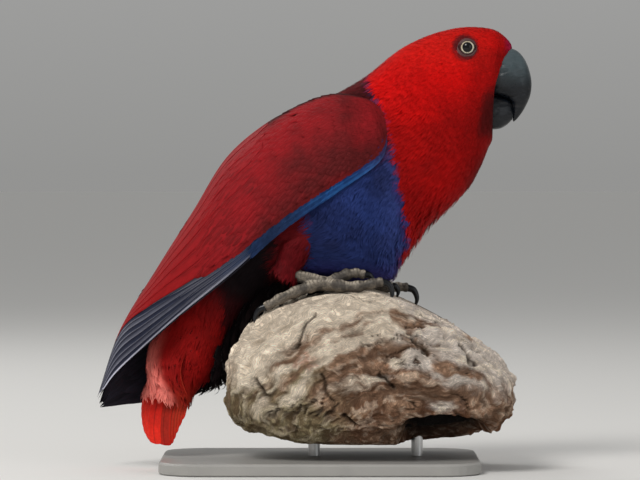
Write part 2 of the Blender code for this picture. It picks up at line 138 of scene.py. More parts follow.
CLAWS = {
    "outer_front": ((41.0, 127.6), (46.2, 125.6), (48.4, 119.5), (46.3, 113.0)),
    "inner_front": ((29.0, 132.2), (33.2, 131.6), (35.2, 128.0), (34.0, 123.6)),
    "outer_back": ((-35.5, 111.0), (-40.6, 109.0), (-43.6, 103.6), (-43.2, 97.6)),
    "inner_back": ((-19.0, 118.0), (-23.4, 116.6), (-26.2, 112.4), (-26.0, 108.0)),
}
FOOT_FORWARD = {-1: 0.0, 1: 18.5}
TOE_DROP = {-1: dict.fromkeys(TOES, 0.0),
            1: {"outer_front": 6.0, "inner_front": 9.0, "outer_back": -7.5, "inner_back": -3.0}}
TOE_RADII = (4.3, 3.9, 3.5)
CLAW_RADII = (2.6, 2.2, 1.5, 0.4)

PERCH_MIDDLE = (34.0, 60.0)
PERCH_LEFT, PERCH_RIGHT = 96.5, 97.0
PERCH_UP, PERCH_DOWN = 61.0, 42.0
PERCH_POWER_LEFT, PERCH_POWER_RIGHT, PERCH_POWER_UNDER = 2.3, 1.32, 3.4
PERCH_NEAR, PERCH_ROUND, PERCH_SAWN = -70.0, -36.0, 54.0

# Coat depth over the skin, at the body's places
COAT_DEPTH = (0.9, 1.7, 2.4, 3.0, 4.0, 5.0, 5.5, 5.5, 5.5, 5.5, 5.0, 4.5, 3.5, 2.5, 1.4, 0.9, 0.6, 0.4)


# --- Curves, noise and colour -----------------------------------------------------------------------------
def along(keys, places):
    """Catmull-Rom curve through the keys, read at places counted in keys; any shape of places."""
    keys = np.asarray(keys, float)
    padded = np.vstack([2 * keys[0] - keys[1], keys, 2 * keys[-1] - keys[-2]])
    places = np.clip(np.asarray(places, float), 0.0, len(keys) - 1)
    first = np.minimum(places.astype(int), len(keys) - 2)
    t = (places - first)[..., None]
    a, b, c, d = (padded[first + k] for k in range(4))
    square, cube = 2 * a - 5 * b + 4 * c - d, 3 * b - a - 3 * c + d
    return 0.5 * (2 * b + (c - a) * t + square * t ** 2 + cube * t ** 3)


def reading(values, places):
    """One number read from a smooth curve through the values."""
    return along(np.asarray(values, float)[:, None], places)[..., 0]


def smooth(value, low, high):
    """0 below low, 1 above high, and 3 t^2 - 2 t^3 between."""
    t = np.clip((value - low) / (high - low), 0, 1)
    return t * t * (3 - 2 * t)


def lattice_noise(points, size, seed):
    """Random numbers at the corners of a cubic lattice, blended smoothly between them; -1 to 1."""
    table = np.random.default_rng(seed).random(4096) * 2 - 1
    place = np.asarray(points) / size
    cell = np.floor(place).astype(np.int64)
    t = place - cell
    t = t * t * (3 - 2 * t)
    total = 0.0
    for corner in range(8):
        step = np.array([corner & 1, corner >> 1 & 1, corner >> 2 & 1])
        weight = np.prod(np.where(step, t, 1 - t), axis=-1)
        index = (cell + step) @ np.array([73856093, 19349663, 83492791])
        total = total + weight * table[index & 4095]
    return total


def rough(points, size, seed, octaves=4):
    """Lattice noise summed at halved sizes and halved heights."""
    return sum(lattice_noise(points, size / 2 ** k, seed + k) / 2 ** k for k in range(octaves))


def tone(red, green, blue):
    """Linear colour from display values between 0 and 255."""
    share = np.array([red, green, blue]) / 255
    return np.where(share <= 0.04045, share / 12.92, ((share + 0.055) / 1.055) ** 2.4)


def chosen(group):
    """The settings of one of the scene's property groups, each colour as an array."""
    held = getattr(bpy.context.scene, group)
    return {title: np.array(getattr(held, title)) for title in held.__annotations__}


def mixed(first, second, share):
    """Colour between two colours, by a share of any shape."""
    share = np.asarray(share)[..., None]
    return np.asarray(first) * (1 - share) + np.asarray(second) * share


# --- The two feathered forms ------------------------------------------------------------------------------
def body_rows():
    """Sections as centre, upward axis, half height, half width, twist and roundness."""
    rows = []
    for back_x, back_z, belly_x, belly_z, half_width, power in BODY:
        tall = math.hypot(back_x - belly_x, back_z - belly_z)
        rows.append(((back_x + belly_x) / 2, (back_z + belly_z) / 2, (back_x - belly_x) / tall,
                     (back_z - belly_z) / tall, tall / 2, half_width, 0.0, power))
    for x, z, angle, half_thick, half_width, twist in TAIL:
        turn = math.radians(angle)
        rows.append((x, z, math.cos(turn), math.sin(turn), half_thick, half_width, math.radians(twist), 2.0))
    return np.array(rows)


BODY_ROWS = body_rows()


def body_surface(place, angle, depth=0.0):
    """Point of the body's form: superellipse sections, angle 0 on the back, moved in along their normal.

    Height is tall cos^(2/p) and width wide sin^(2/p), each with its sign; the normal has the exponent
    2 - 2/p over the half size. Angles above 0 are on the left side.
    """
    cx, cz, ux, uz, tall, wide, twist, power = np.moveaxis(along(BODY_ROWS, place), -1, 0)
    length = np.hypot(ux, uz)
    ux, uz = ux / length, uz / length
    exponent = 2 / power
    cos, sin = np.cos(angle), np.sin(angle)
    high = np.sign(cos) * np.abs(cos) ** exponent
    out = np.sign(sin) * np.abs(sin) ** exponent
    normal_high = np.sign(cos) * np.abs(cos) ** (2 - exponent) / tall
    normal_out = np.sign(sin) * np.abs(sin) ** (2 - exponent) / wide
    scale = np.hypot(normal_high, normal_out)
    inset = np.minimum(depth, 0.7 * np.minimum(tall, wide))
    high = tall * high - inset * normal_high / scale
    out = wide * out - inset * normal_out / scale
    turn_cos, turn_sin = np.cos(twist), np.sin(twist)
    x = cx + high * ux * turn_cos + out * ux * turn_sin
    z = cz + high * uz * turn_cos + out * uz * turn_sin
    return np.stack([x, out * turn_cos - high * turn_sin, z], -1)


def wing_surface(side, station, across, depth=0.0):
    """Point of a folded wing's outer form: across runs 0 to 1 from its dorsal to its ventral edge.

    Each section is part of an ellipse that starts level on the back and turns past upright by the tuck; the
    turn is across times the tuck. Depth moves the point in along the section's normal.
    """
    dx, dz, vx, vz, edge, widest, _thick = np.moveaxis(along(WINGS[side], station), -1, 0)
    closing = 1 - math.cos(WING_TUCK)
    turn = np.clip(across, 0, 1) * WING_TUCK
    length = np.hypot(vx - dx, vz - dz)
    across_x, across_z = (vx - dx) / length, (vz - dz) / length
    run = length * (1 - np.cos(turn)) / closing
    out = edge + (widest - edge) * np.sin(turn)
    normal_run, normal_out = -(widest - edge) * np.cos(turn), length * np.sin(turn) / closing + 1e-6
    scale = np.hypot(normal_run, normal_out)
    run = run - depth * normal_run / scale
    out = out - depth * normal_out / scale
    return np.stack([dx + across_x * run, side * out, dz + across_z * run], -1)


def wing_thickness(side, station, across):
    """Thickness of the wing's solid there, thinning to both edges."""
    thick = along(WINGS[side], station)[..., 6]
    share = (1 - np.cos(np.clip(across, 0, 1) * WING_TUCK)) / (1 - math.cos(WING_TUCK))
    return np.maximum(thick * (0.3 + 0.7 * np.sqrt(np.sin(math.pi * share).clip(0))), 1.0)


def flight_border(station):
    """Where across the wing its flight feathers begin."""
    share = np.clip(reading(FLIGHT_EDGE, station), 0, 1)
    return np.arccos(1 - share * (1 - math.cos(WING_TUCK))) / WING_TUCK


def run_along(line):
    """Distance from a line's start to each of its points."""
    return np.concatenate([[0], np.cumsum(np.linalg.norm(np.diff(line, axis=0), axis=1))])


def full_turns(places, around):
    """Every place paired with even steps of a full turn, as two arrays of rows by columns."""
    return np.meshgrid(places, np.linspace(0, 2 * math.pi, around, endpoint=False), indexing="ij")


def eye_distance(points):
    """Distance in profile from the eye's centre."""
    return np.hypot(points[..., 0] - EYE_CENTRE[0], points[..., 2] - EYE_CENTRE[2])


def spacing(surface, u, v):
    """Millimetres of surface for one unit of each parameter, by small steps."""
    step = 0.01
    ends = [surface(u + step, v), surface(u - step, v), surface(u, v + step), surface(u, v - step)]
    return (np.linalg.norm(ends[0] - ends[1], axis=-1) / (2 * step) + 1e-3,
            np.linalg.norm(ends[2] - ends[3], axis=-1) / (2 * step) + 1e-3)


# --- Meshes -----------------------------------------------------------------------------------------------
def new_mesh(name, points, faces, finish, colours=None, maps=None):
    """A shaded mesh in metres from points in millimetres and arrays of faces with three or four corners.

    colours gives each point a linear colour in the attribute plumage, and maps a place in each UV map.
    """
    points = np.asarray(points, float).reshape(-1, 3)
    corners = np.concatenate([np.asarray(f).reshape(-1) for f in faces]).astype(np.int32)
    sizes = np.concatenate([np.full(len(f), np.asarray(f).shape[1]) for f in faces])
    mesh = bpy.data.meshes.new(name)
    mesh.vertices.add(len(points))
    mesh.vertices.foreach_set("co", (points * MM).astype(np.float32).ravel())
    mesh.loops.add(len(corners))
    mesh.loops.foreach_set("vertex_index", corners)
    mesh.polygons.add(len(sizes))
    mesh.polygons.foreach_set("loop_start", (np.cumsum(sizes) - sizes).astype(np.int32))
    mesh.update(calc_edges=True)
    mesh.shade_smooth()
    if colours is not None:
        colours = np.asarray(colours, float).reshape(-1, 3)
        held = mesh.color_attributes.new("plumage", "FLOAT_COLOR", "POINT")
        rgba = np.concatenate([colours, np.ones((len(colours), 1))], 1)
        held.data.foreach_set("color", rgba.astype(np.float32).ravel())
    for title, places in (maps or {}).items():
        layer = mesh.uv_layers.new(name=title)
        layer.uv.foreach_set("vector", places.reshape(-1, 2)[corners].astype(np.float32).ravel())
    mesh.materials.append(finish)
    return mesh


def place_piece(name, mesh, slot, *replaced):
    """Links the mesh as a piece that rides on the still body and stands for the named solids."""
    piece = bpy.data.objects.new(name, mesh)
    bpy.context.scene.collection.objects.link(piece)
    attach(piece, "root")
    if replaced:
        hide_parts(*replaced)
    return piece


def grid_faces(rows, columns, wrap=False):
    """Quads of a grid of points, row by row; wrap joins the last column to the first."""
    down = np.arange(rows - 1)[:, None] * columns
    over = np.arange(columns if wrap else columns - 1)[None]
    after = (over + 1) % columns
    corners = [down + over, down + after, down + columns + after, down + columns + over]
    return np.stack(corners, -1).reshape(-1, 4)


def tube_points(path, radii, around, count):
    """Rings of a round bar along a smooth path, its ends drawn in as domes of six rings."""
    path = np.asarray(path, float)
    places = np.linspace(0, len(path) - 1, count)
    centre = along(path, places)
    radius = reading(radii, places * (len(radii) - 1) / (len(path) - 1))
    axis = np.gradient(centre, axis=0)
    axis /= np.linalg.norm(axis, axis=1)[:, None]
    lean = np.radians([84.0, 66.0, 48.0, 32.0, 18.0, 8.0])
    before = centre[0] - axis[0] * radius[0] * 0.6 * np.sin(lean)[:, None]
    behind = centre[-1] + axis[-1] * radius[-1] * 0.6 * np.sin(lean[::-1])[:, None]
    centre = np.concatenate([before, centre, behind])
    radius = np.concatenate([radius[0] * np.cos(lean), radius, radius[-1] * np.cos(lean[::-1])])
    axis = np.concatenate([np.repeat(axis[:1], 6, 0), axis, np.repeat(axis[-1:], 6, 0)])
    level = np.cross(axis, (0.0, 1.0, 0.0))
    level /= np.linalg.norm(level, axis=1)[:, None]
    other = np.cross(axis, level)
    angle = np.linspace(0, 2 * math.pi, around, endpoint=False)[None, :, None]
    return centre[:, None] + radius[:, None, None] * (np.cos(angle) * level[:, None] +
                                                      np.sin(angle) * other[:, None])


def turn_outwards(mesh):
    """Turns a closed mesh's faces outwards."""
    shell = bmesh.new()
    shell.from_mesh(mesh)
    bmesh.ops.recalc_face_normals(shell, faces=shell.faces)
    shell.to_mesh(mesh)
    shell.free()


def repeated_faces(groups, count, size):
    """Groups of faces repeated for count like pieces of size points each."""
    first = (np.arange(count) * size)[:, None, None]
    return [(group[None] + first).reshape(-1, group.shape[1]) for group in groups]


def end_caps(rows, columns):
    """Quads and triangles that close the first and last ring, each column joined to its mirror column."""
    half = columns // 2
    k = np.arange(1, half - 1)
    quads = np.stack([k, k + 1, columns - k - 1, columns - k], 1)
    triangles = np.array([[0, 1, columns - 1], [half - 1, half, half + 1]])
    far = (rows - 1) * columns
    return tuple(np.concatenate([group, group[:, ::-1] + far]) for group in (quads, triangles))


def closed_faces(rows, columns):
    """Faces of rings skinned one to the next and closed by a fan of one face at each end."""
    quads = grid_faces(rows, columns, wrap=True)
    ring = np.arange(columns)
    ends = np.stack([ring[::-1], ring + (rows - 1) * columns])
    return quads, ends


# --- Feathers ---------------------------------------------------------------------------------------------
BAKE_PATCH = 0.003                  # width of a tuft's patch on the map that colours are baked to
BAKE_EDGE = 0.004                   # margin left round that map
REACH = 0.9                         # most that a feather may reach along its surface's parameter


def bake_map(root_u, root_v, cross, run):
    """A patch of the bake map for each feather, at its root's place on the unwrapped form."""
    def fitted(values):
        low, high = values.min(), values.max()
        return BAKE_EDGE + (1 - 2 * BAKE_EDGE) * (values - low) / max(high - low, 1e-6)
    u = fitted(root_u)[:, None] + cross * BAKE_PATCH * 0.48
    v = fitted(root_v)[:, None] + (run - 0.5) * BAKE_PATCH * 0.96
    return np.stack([u, v], -1)


class Tuft:
    """A feather's own grid: run 0 to 1 from root to tip and cross -1 to 1, with its faces.

    A fringed one is a vane whose outer half is split into strands that end in points. A whole one is a grid
    whose width follows sin(pi run^lead)^roundness, so that it is round at the tip and narrow at the root.
    """

    def __init__(self, strands, split=0.42, middle=0.74, root=0.55, rounding=0.12):
        edges = np.linspace(-1, 1, strands + 1)
        centres, half = (edges[1:] + edges[:-1]) / 2, 1 / strands
        rows = [(np.zeros(strands + 1), edges * root), (np.full(strands + 1, split), edges)]
        pairs = np.stack([centres - half * 0.84, centres + half * 0.84], 1).ravel()
        rows += [(middle - 0.5 * rounding * pairs ** 2, pairs * 1.02),
                 (1 - rounding * centres ** 2, centres * 1.06)]
        self.run = np.concatenate([r for r, _ in rows])
        self.cross = np.concatenate([c for _, c in rows])
        self.strand = np.concatenate([np.full(2 * strands + 2, -1), np.repeat(np.arange(strands), 2),
                                      np.arange(strands)])
        k = np.arange(strands)
        base, fork = strands + 1, 2 * (strands + 1)
        tip = fork + 2 * strands
        self.quads = np.concatenate([
            np.stack([k, k + 1, base + k + 1, base + k], 1),
            np.stack([base + k, base + k + 1, fork + 2 * k + 1, fork + 2 * k], 1)])
        self.triangles = np.stack([fork + 2 * k, fork + 2 * k + 1, tip + k], 1)
        self.strands = strands
        self.arch = np.zeros_like(self.run)


class Vane(Tuft):
    """A whole feather: rows by columns of points, with a raised shaft along the middle."""

    def __init__(self, rows, columns, lead=0.75, roundness=0.55):
        run = np.linspace(0, 1, rows + 1)[:, None] ** 0.9
        cross = np.linspace(-1, 1, columns + 1)[None]
        wide = np.sin(math.pi * np.clip(run, 0.03, 0.997) ** lead) ** roundness
        wide = np.maximum(wide, 0.10)
        self.run = np.repeat(run, columns + 1, 1).ravel()
        self.cross = (cross * wide).ravel()
        self.arch = np.repeat(np.abs(cross), rows + 1, 0).ravel()
        self.strand = np.full(self.run.size, -1)
        self.quads = grid_faces(rows + 1, columns + 1)
        self.triangles = np.zeros((0, 3), int)
        self.strands = 1


def laid_feathers(surface, form, u, v, length, half_width, yaw, root_depth, tip_depth, seed, cup=0.12,
                  fray=0.16, around=None):
    """Points of every feather and their places: u is along the lie and v across it, both the surface's own.

    A point's run and cross are turned by yaw and divided by the surface's spacing at the root. Its depth
    falls from the root's to the tip's as 1 - (1 - run)^1.7, less at the edges by cup, and each strand of a
    fringed feather ends at its own length and height.
    """
    rng = np.random.default_rng(seed)
    count = len(u)
    across_u, across_v = spacing(surface, u, v)
    across_u = np.maximum(across_u, length / REACH)
    strand_length = 1 + rng.uniform(-1.6, 0.6, (count, form.strands)) * fray
    strand_sway = rng.normal(0, 0.55, (count, form.strands)) * fray
    strand_lift = rng.uniform(-0.5, 1.0, (count, form.strands)) * fray
    loose = form.strand >= 0
    index = np.where(loose, form.strand, 0)
    run = form.run[None] * np.where(loose, strand_length[:, index], 1.0)
    fade = np.where(loose, (form.run[None] - 0.4) / 0.6, 0.0)
    cross = form.cross[None] * half_width[:, None] + strand_sway[:, index] * fade * half_width[:, None]
    ahead = run * length[:, None]
    cos, sin = np.cos(yaw)[:, None], np.sin(yaw)[:, None]
    at_u = u[:, None] + (ahead * cos - cross * sin) / across_u[:, None]
    at_v = v[:, None] + (ahead * sin + cross * cos) / across_v[:, None]
    rise = 1 - (1 - np.clip(run, 0, 1)) ** 1.7
    depth = root_depth[:, None] + (tip_depth - root_depth)[:, None] * rise
    depth = depth + cup * half_width[:, None] * form.arch[None] ** 2
    depth = depth - strand_lift[:, index] * fade * half_width[:, None] * 0.6
    if around is not None:
        at_u, at_v = around(at_u, at_v)
    return surface(at_u, at_v, depth), at_u, at_v


def feather_piece(name, form, points, roots, colours, finish, slot, tip_light, seed):
    """One coat piece: the same faces for every feather, colours darker at the root and lighter at the tip."""
    count, size = points.shape[:2]
    rng = np.random.default_rng(seed + 77)
    groups = [form.quads, form.triangles] if len(form.triangles) else [form.quads]
    shade = 1 - tip_light + 1.6 * tip_light * form.run[None] ** 1.3
    strand_shade = rng.uniform(0.89, 1.08, (count, form.strands))
    shade = shade * np.where(form.strand >= 0, strand_shade[:, np.maximum(form.strand, 0)], 1.0)
    colour = (colours[:, None, :] if colours.ndim == 2 else colours) * shade[..., None]
    cross = form.cross[None] / max(np.abs(form.cross).max(), 1e-6)
    maps = {"OFBake": bake_map(*roots, cross, form.run[None]),
            "Vane": np.broadcast_to(np.stack([form.cross, form.run], -1), (count, size, 2))}
    mesh = new_mesh(name, points, repeated_faces(groups, count, size), plumage_finish(finish), colour, maps)
    return place_piece(name, mesh, slot)


# --- Markings ---------------------------------------------------------------------------------------------
RED, RED_DARK = tone(220, 9, 7), tone(132, 6, 5)
# Orange-red painted light for the crown.
RED_CROWN_LIGHT = tone(226, 40, 30)
MANTLE = tone(58, 14, 17)
MAROON, MAROON_DARK, MAROON_BRIGHT = tone(144, 24, 30), tone(92, 24, 26), tone(142, 18, 21)
BELLY, BELLY_DARK, BELLY_LIT = tone(39, 56, 114), tone(22, 27, 60), tone(62, 76, 140)
VIOLET = tone(64, 44, 112)
# The vent's nearly black colour is painted shade.
THIGH_RED, VENT_SHADE = tone(96, 9, 16), tone(17, 8, 12)
EDGE_BLUE, EDGE_LIT = tone(25, 61, 120), tone(52, 112, 182)
SLATE, SLATE_BLUE, SLATE_LIGHT = tone(42, 46, 64), tone(34, 52, 88), tone(172, 172, 186)
# The coverts' pink is painted light.
TAIL_RED, TAIL_TIP, COVERT_LIT_PINK = tone(164, 16, 14), tone(238, 44, 28), tone(250, 138, 126)
TAIL_BROWN = tone(150, 50, 30)
UNDERWING = tone(26, 24, 32)

# x of the breast's hind border, and of the belly's, at heights z
RED_BORDER_Z = (120, 134.6, 141.4, 149.6, 156.4, 165.2, 174.1, 182.2, 189.0, 199.2, 209.4, 225, 242, 258)
RED_BORDER_X = (50.0, 53.7, 55.8, 57.8, 59.8, 59.8, 58.6, 57.0, 54.9, 52.8, 51.2, 48.4, 43.0, 34.0)
BELLY_END_Z = (120, 133.3, 140.1, 144.8, 151.6, 158.4, 175, 200)
BELLY_END_X = (-16.0, -13.6, -11.6, -8.2, -4.8, -5.4, -10, -30)


def body_colour(place, angle, seed=5):
    """Colour of the body's plumage from its place in profile, each border blended over a few millimetres.

    Red ahead of the breast's border, blue-violet below it back to the thighs, then dark red and, on the vent,
    nearly black as painted shade; maroon on the back and red again on the tail and its coverts. The red has
    painted shade low down and round the bill and painted light on the crown; pink on the coverts is painted
    light.
    """
    coat = chosen("parrot_plumage")
    points = body_surface(place, angle)
    x, z = points[..., 0], points[..., 2]
    wander = rough(points, 7.0, seed, 3) * 2.2
    patches = rough(points, 22.0, seed + 9, 3)
    # The red darkens downwards from the cheek to the breast: painted shade, over random patches of deeper
    # red.
    dark = 0.18 + 0.25 * patches + 0.50 * smooth(-z, -264, -226) + 0.10 * smooth(-z, -200, -150)
    red = mixed(coat["red"], RED_DARK, np.clip(dark, 0, 1))
    # Darker close behind and below the bill and on the front of the face: painted shade.
    red = mixed(red, RED_DARK * 0.62, 0.75 * smooth(-place, -1.5, -0.1) * smooth(-z, -272, -240))
    red = mixed(red, RED_DARK, 0.50 * smooth(x, 94, 110) * smooth(-z, -289, -280))
    # Brighter orange-red over the crown: painted light from above.
    red = mixed(red, RED_CROWN_LIGHT, 0.4 * smooth(z, 262, 292) * smooth(place, 1.0, 3.0))
    # Dark under the bill, nearly black close to the middle: painted shadow of the bill and cheek.
    throat_shadow = smooth(x - 0.3 * (z - 236), 99, 111) * smooth(-z, -258, -246) * smooth(z, 224, 240)
    aside = np.abs(points[..., 1])
    red = mixed(red, RED_DARK * 0.7, 0.8 * throat_shadow * smooth(-aside, -26, -17))
    red = mixed(red, tone(34, 12, 10), 0.92 * throat_shadow * smooth(-aside, -17, -11))
    # Dark just behind the lower mandible: painted shadow.
    chin_shadow = smooth(x - 0.2 * (z - 240), 107, 112) * smooth(-z, -264, -252) * smooth(z, 222, 232)
    red = mixed(red, tone(50, 12, 12), 0.66 * chin_shadow)
    # Darker again low at the bill's base: painted shade.
    red = mixed(red, RED_DARK, 0.6 * smooth(-place, -0.8, -0.1) * smooth(-z, -284, -276))
    red = mixed(red, tone(170, 20, 90), 0.6 * smooth(x, 124, 130) * smooth(z, 278, 288))
    blue = mixed(coat["belly_blue"], BELLY_DARK, np.clip(0.35 + 0.5 * patches, 0, 1))
    blue = mixed(blue, BELLY_LIT, 0.55 * smooth(x, 34, 56))
    blue = mixed(blue, VIOLET, 0.45 * smooth(-z, -146, -130))
    border = np.interp(z, RED_BORDER_Z, RED_BORDER_X) + wander
    colour = mixed(blue, red, smooth(x - border, -1.6, 1.6))
    join = smooth(-np.abs(x - border + 2.4), -2.6, -0.6) * smooth(-z, -205, -190)
    colour = mixed(colour, VIOLET * 0.8, 0.55 * join)
    back = smooth(z - 0.35 * (x + 60), 170, 190) * smooth(border - x, -1.0, 2.0)
    colour = mixed(colour, mixed(MANTLE, coat["maroon"], 0.3 + 0.4 * patches), back)
    thigh = smooth(np.interp(z, BELLY_END_Z, BELLY_END_X) + wander - x, -1.5, 1.5) * (1 - back)
    colour = mixed(colour, THIGH_RED, thigh)
    # Nearly black on the vent: painted shade.
    colour = mixed(colour, VENT_SHADE, thigh * smooth(-28 + wander * 1.5 - x, -3, 6) * smooth(-place, -11.4, -10.2))
    rump = smooth(place, 10.2, 11.4)
    # Nearly black where the rump's coverts come forward towards the vent and the limb: painted shade.
    below = smooth(x + wander, -68, -62)
    rear = mixed(coat["tail_red"] * 0.60, coat["tail_red"] * 0.90, np.clip(0.3 + 0.7 * patches, 0, 1))
    rear = mixed(rear, VENT_SHADE, 0.95 * below)
    # Pink over the upper side of the tail's coverts: painted light.
    rear = mixed(rear, COVERT_LIT_PINK, 0.6 * smooth(place, 11.6, 12.7) * smooth(angle, -0.95, -0.45))
    colour = mixed(colour, rear, rump)
    tail = mixed(coat["tail_red"], coat["tail_tip"], smooth(place, 14.6, 16.6) * 0.8)
    return mixed(colour, tail, smooth(place, 12.9, 13.3))


def wing_colour(side, station, across, seed=15):
    """Colour of a wing: maroon coverts, a bright blue lower edge ahead and slate flight feathers behind."""
    coat = chosen("parrot_plumage")
    points = wing_surface(side, station, across)
    patches = rough(points, 16.0, seed, 3)
    low = smooth(across, 0.5, 0.85) * smooth(-station, -4.6, -2.5)
    maroon = mixed(coat["maroon"], MAROON_DARK, np.clip(0.25 + 0.45 * patches + 0.6 * low, 0, 1))
    maroon = mixed(maroon, MAROON_BRIGHT, 0.85 * smooth(station, 3.6, 5.6))
    # Nearly black maroon along the upper edge from the shoulder to the wing's middle: painted shade.
    maroon = mixed(maroon, MANTLE * 0.7, 0.92 * smooth(-across, -0.17, -0.07) * smooth(-station, -3.9, -2.9))
    streaks = smooth(np.cos(across * 190 + 0.7 * station), 0.35, 0.95) * smooth(station, -1.6, -0.4)
    lit = 0.16 + 0.4 * rough(points, 7.0, seed + 4, 2) + 0.5 * streaks
    blue = mixed(coat["edge_blue"], EDGE_LIT, np.clip(lit, 0, 1))
    blue = mixed(blue, EDGE_LIT, 0.55 * smooth(across, 0.955, 0.99) * smooth(-station, -2.6, -1.4))
    blue = mixed(blue, SLATE_BLUE, smooth(station, 1.9, 3.2))
    blue = mixed(blue, MANTLE, 0.45 * smooth(-station, -1.3, -0.3))
    blue = mixed(blue, MAROON_DARK * 0.7, 0.35 * smooth(-station, -2.0, -0.6))
    blue = mixed(blue, coat["slate"], smooth(station, 3.6, 5.0))
    past = across - flight_border(station)
    return mixed(maroon, blue, smooth(past, -0.006, 0.006))


# --- Finishes ---------------------------------------------------------------------------------------------
class Bench:
    """Adds nodes to a tree; a value given for a socket may be another node's socket."""

    def __init__(self, tree):
        self.tree = tree

    def node(self, kind, sockets=None, **settings):
        """A node with its settings, and its sockets given by name or number."""
        made = self.tree.nodes.new(kind)
        for title, value in settings.items():
            setattr(made, title, value)
        for title, value in (sockets or {}).items():
            socket = made.inputs[title]
            if isinstance(value, bpy.types.NodeSocket):
                self.tree.links.new(value, socket)
            else:
                socket.default_value = value
        return made

    def painted(self):
        """The mesh's own painted colour."""
        return self.node("ShaderNodeAttribute", attribute_name="plumage").outputs["Color"]

    def places(self):
        """Object coordinates."""
        return self.node("ShaderNodeTexCoord").outputs["Object"]

    def greyed(self, colour, light):
        """Colour times a grey of this lightness."""
        grey = self.node("ShaderNodeCombineColor", {0: light, 1: light, 2: light}).outputs[0]
        return self.blend(1.0, colour, grey, "MULTIPLY")

    def mottled(self, colour, places, scale, amount):
        """Colour and height of the mottle group."""
        return self.node("ShaderNodeGroup", {"Colour": colour, "Vector": places, "Scale": scale,
                                             "Amount": amount}, node_tree=mottle_group()).outputs

    def maths(self, operation, first, second=0.0):
        """One operation on two numbers."""
        return self.node("ShaderNodeMath", {0: first, 1: second}, operation=operation).outputs[0]

    def blend(self, share, first, second, kind="MIX"):
        """Two colours blended by a share."""
        return self.node("ShaderNodeMix", {0: share, 6: first, 7: second}, data_type="RGBA",
                         blend_type=kind).outputs[2]

    def noise(self, coordinates, scale, detail=4.0, roughness=0.55):
        """Noise between 0 and 1 in the given coordinates."""
        return self.node("ShaderNodeTexNoise", {"Vector": coordinates, "Scale": scale, "Detail": detail,
                                                "Roughness": roughness}).outputs["Fac"]

    def spread(self, value, low, high, start=0.0, end=1.0):
        """A value spread from low and high to start and end, and held between them."""
        return self.node("ShaderNodeMapRange", {0: value, 1: low, 2: high, 3: start, 4: end},
                         clamp=True).outputs[0]


def new_group(name, inputs, outputs):
    """A node group with named sockets, and a bench on it with its two end nodes."""
    tree = bpy.data.node_groups.new(name, "ShaderNodeTree")
    for title, kind, default in inputs:
        socket = tree.interface.new_socket(title, in_out="INPUT", socket_type=kind)
        if default is not None:
            socket.default_value = default
    for title, kind in outputs:
        tree.interface.new_socket(title, in_out="OUTPUT", socket_type=kind)
    bench = Bench(tree)
    return tree, bench, bench.node("NodeGroupInput"), bench.node("NodeGroupOutput")


def mottle_group():
    """Colour varied by noise in Object coordinates, and the same noise as a height."""
    found = bpy.data.node_groups.get("mottle")
    if found:
        return found
    tree, bench, given, put = new_group(
        "mottle", [("Colour", "NodeSocketColor", None), ("Vector", "NodeSocketVector", None),
                   ("Scale", "NodeSocketFloat", 400.0), ("Amount", "NodeSocketFloat", 0.3)],
        [("Colour", "NodeSocketColor"), ("Height", "NodeSocketFloat")])
    grain = bench.noise(given.outputs["Vector"], given.outputs["Scale"], 5.0, 0.6)
    swing = bench.maths("MULTIPLY", bench.maths("SUBTRACT", grain, 0.5), given.outputs["Amount"])
    light = bench.maths("ADD", bench.maths("MULTIPLY", swing, 2.0), 1.0)
    tree.links.new(bench.greyed(given.outputs["Colour"], light), put.inputs["Colour"])
    tree.links.new(grain, put.inputs["Height"])
    return tree


def barb_group():
    """Barbs of a vane: ridges that run out from the shaft towards the tip, and a darker shaft.

    The ridge's phase is count times (run minus lean times the distance from the shaft); the vane's own map
    gives cross and run.
    """
    found = bpy.data.node_groups.get("barbs")
    if found:
        return found
    tree, bench, given, put = new_group(
        "barbs", [("Colour", "NodeSocketColor", None), ("Map", "NodeSocketVector", None),
                  ("Count", "NodeSocketFloat", 40.0), ("Lean", "NodeSocketFloat", 0.35),
                  ("Amount", "NodeSocketFloat", 0.2)],
        [("Colour", "NodeSocketColor"), ("Height", "NodeSocketFloat")])
    parts = bench.node("ShaderNodeSeparateXYZ", {0: given.outputs["Map"]}).outputs
    aside = bench.maths("ABSOLUTE", parts[0])
    place = bench.maths("SUBTRACT", parts[1], bench.maths("MULTIPLY", aside, given.outputs["Lean"]))
    phase = bench.maths("MULTIPLY", bench.maths("MULTIPLY", place, given.outputs["Count"]), 2 * math.pi)
    clumps = bench.noise(bench.node("ShaderNodeCombineXYZ", {0: place, 1: parts[0]}).outputs[0], 9.0, 3.0)
    ridge = bench.maths("ADD", bench.maths("MULTIPLY", bench.maths("SINE", phase), 0.5), 0.5)
    ridge = bench.maths("ADD", bench.maths("MULTIPLY", ridge, 0.6), bench.maths("MULTIPLY", clumps, 0.8))
    shaft = bench.spread(aside, 0.02, 0.06, 1.0, 0.0)
    light = bench.maths("ADD", bench.maths("MULTIPLY", bench.maths("SUBTRACT", ridge, 0.7),
                                           given.outputs["Amount"]), 1.0)
    light = bench.maths("SUBTRACT", light, bench.maths("MULTIPLY", shaft, 0.35))
    tree.links.new(bench.greyed(given.outputs["Colour"], light), put.inputs["Colour"])
    tree.links.new(bench.maths("ADD", ridge, shaft), put.inputs["Height"])
    return tree


def new_finish(name, **constants):
    """A material with its Principled shader's constants set on its own sockets."""
    finish = bpy.data.materials.new(name)
    finish.use_nodes = True
    shader = finish.node_tree.nodes["Principled BSDF"]
    for title, value in constants.items():
        shader.inputs[title.replace("_", " ")].default_value = value
    return finish, Bench(finish.node_tree), shader


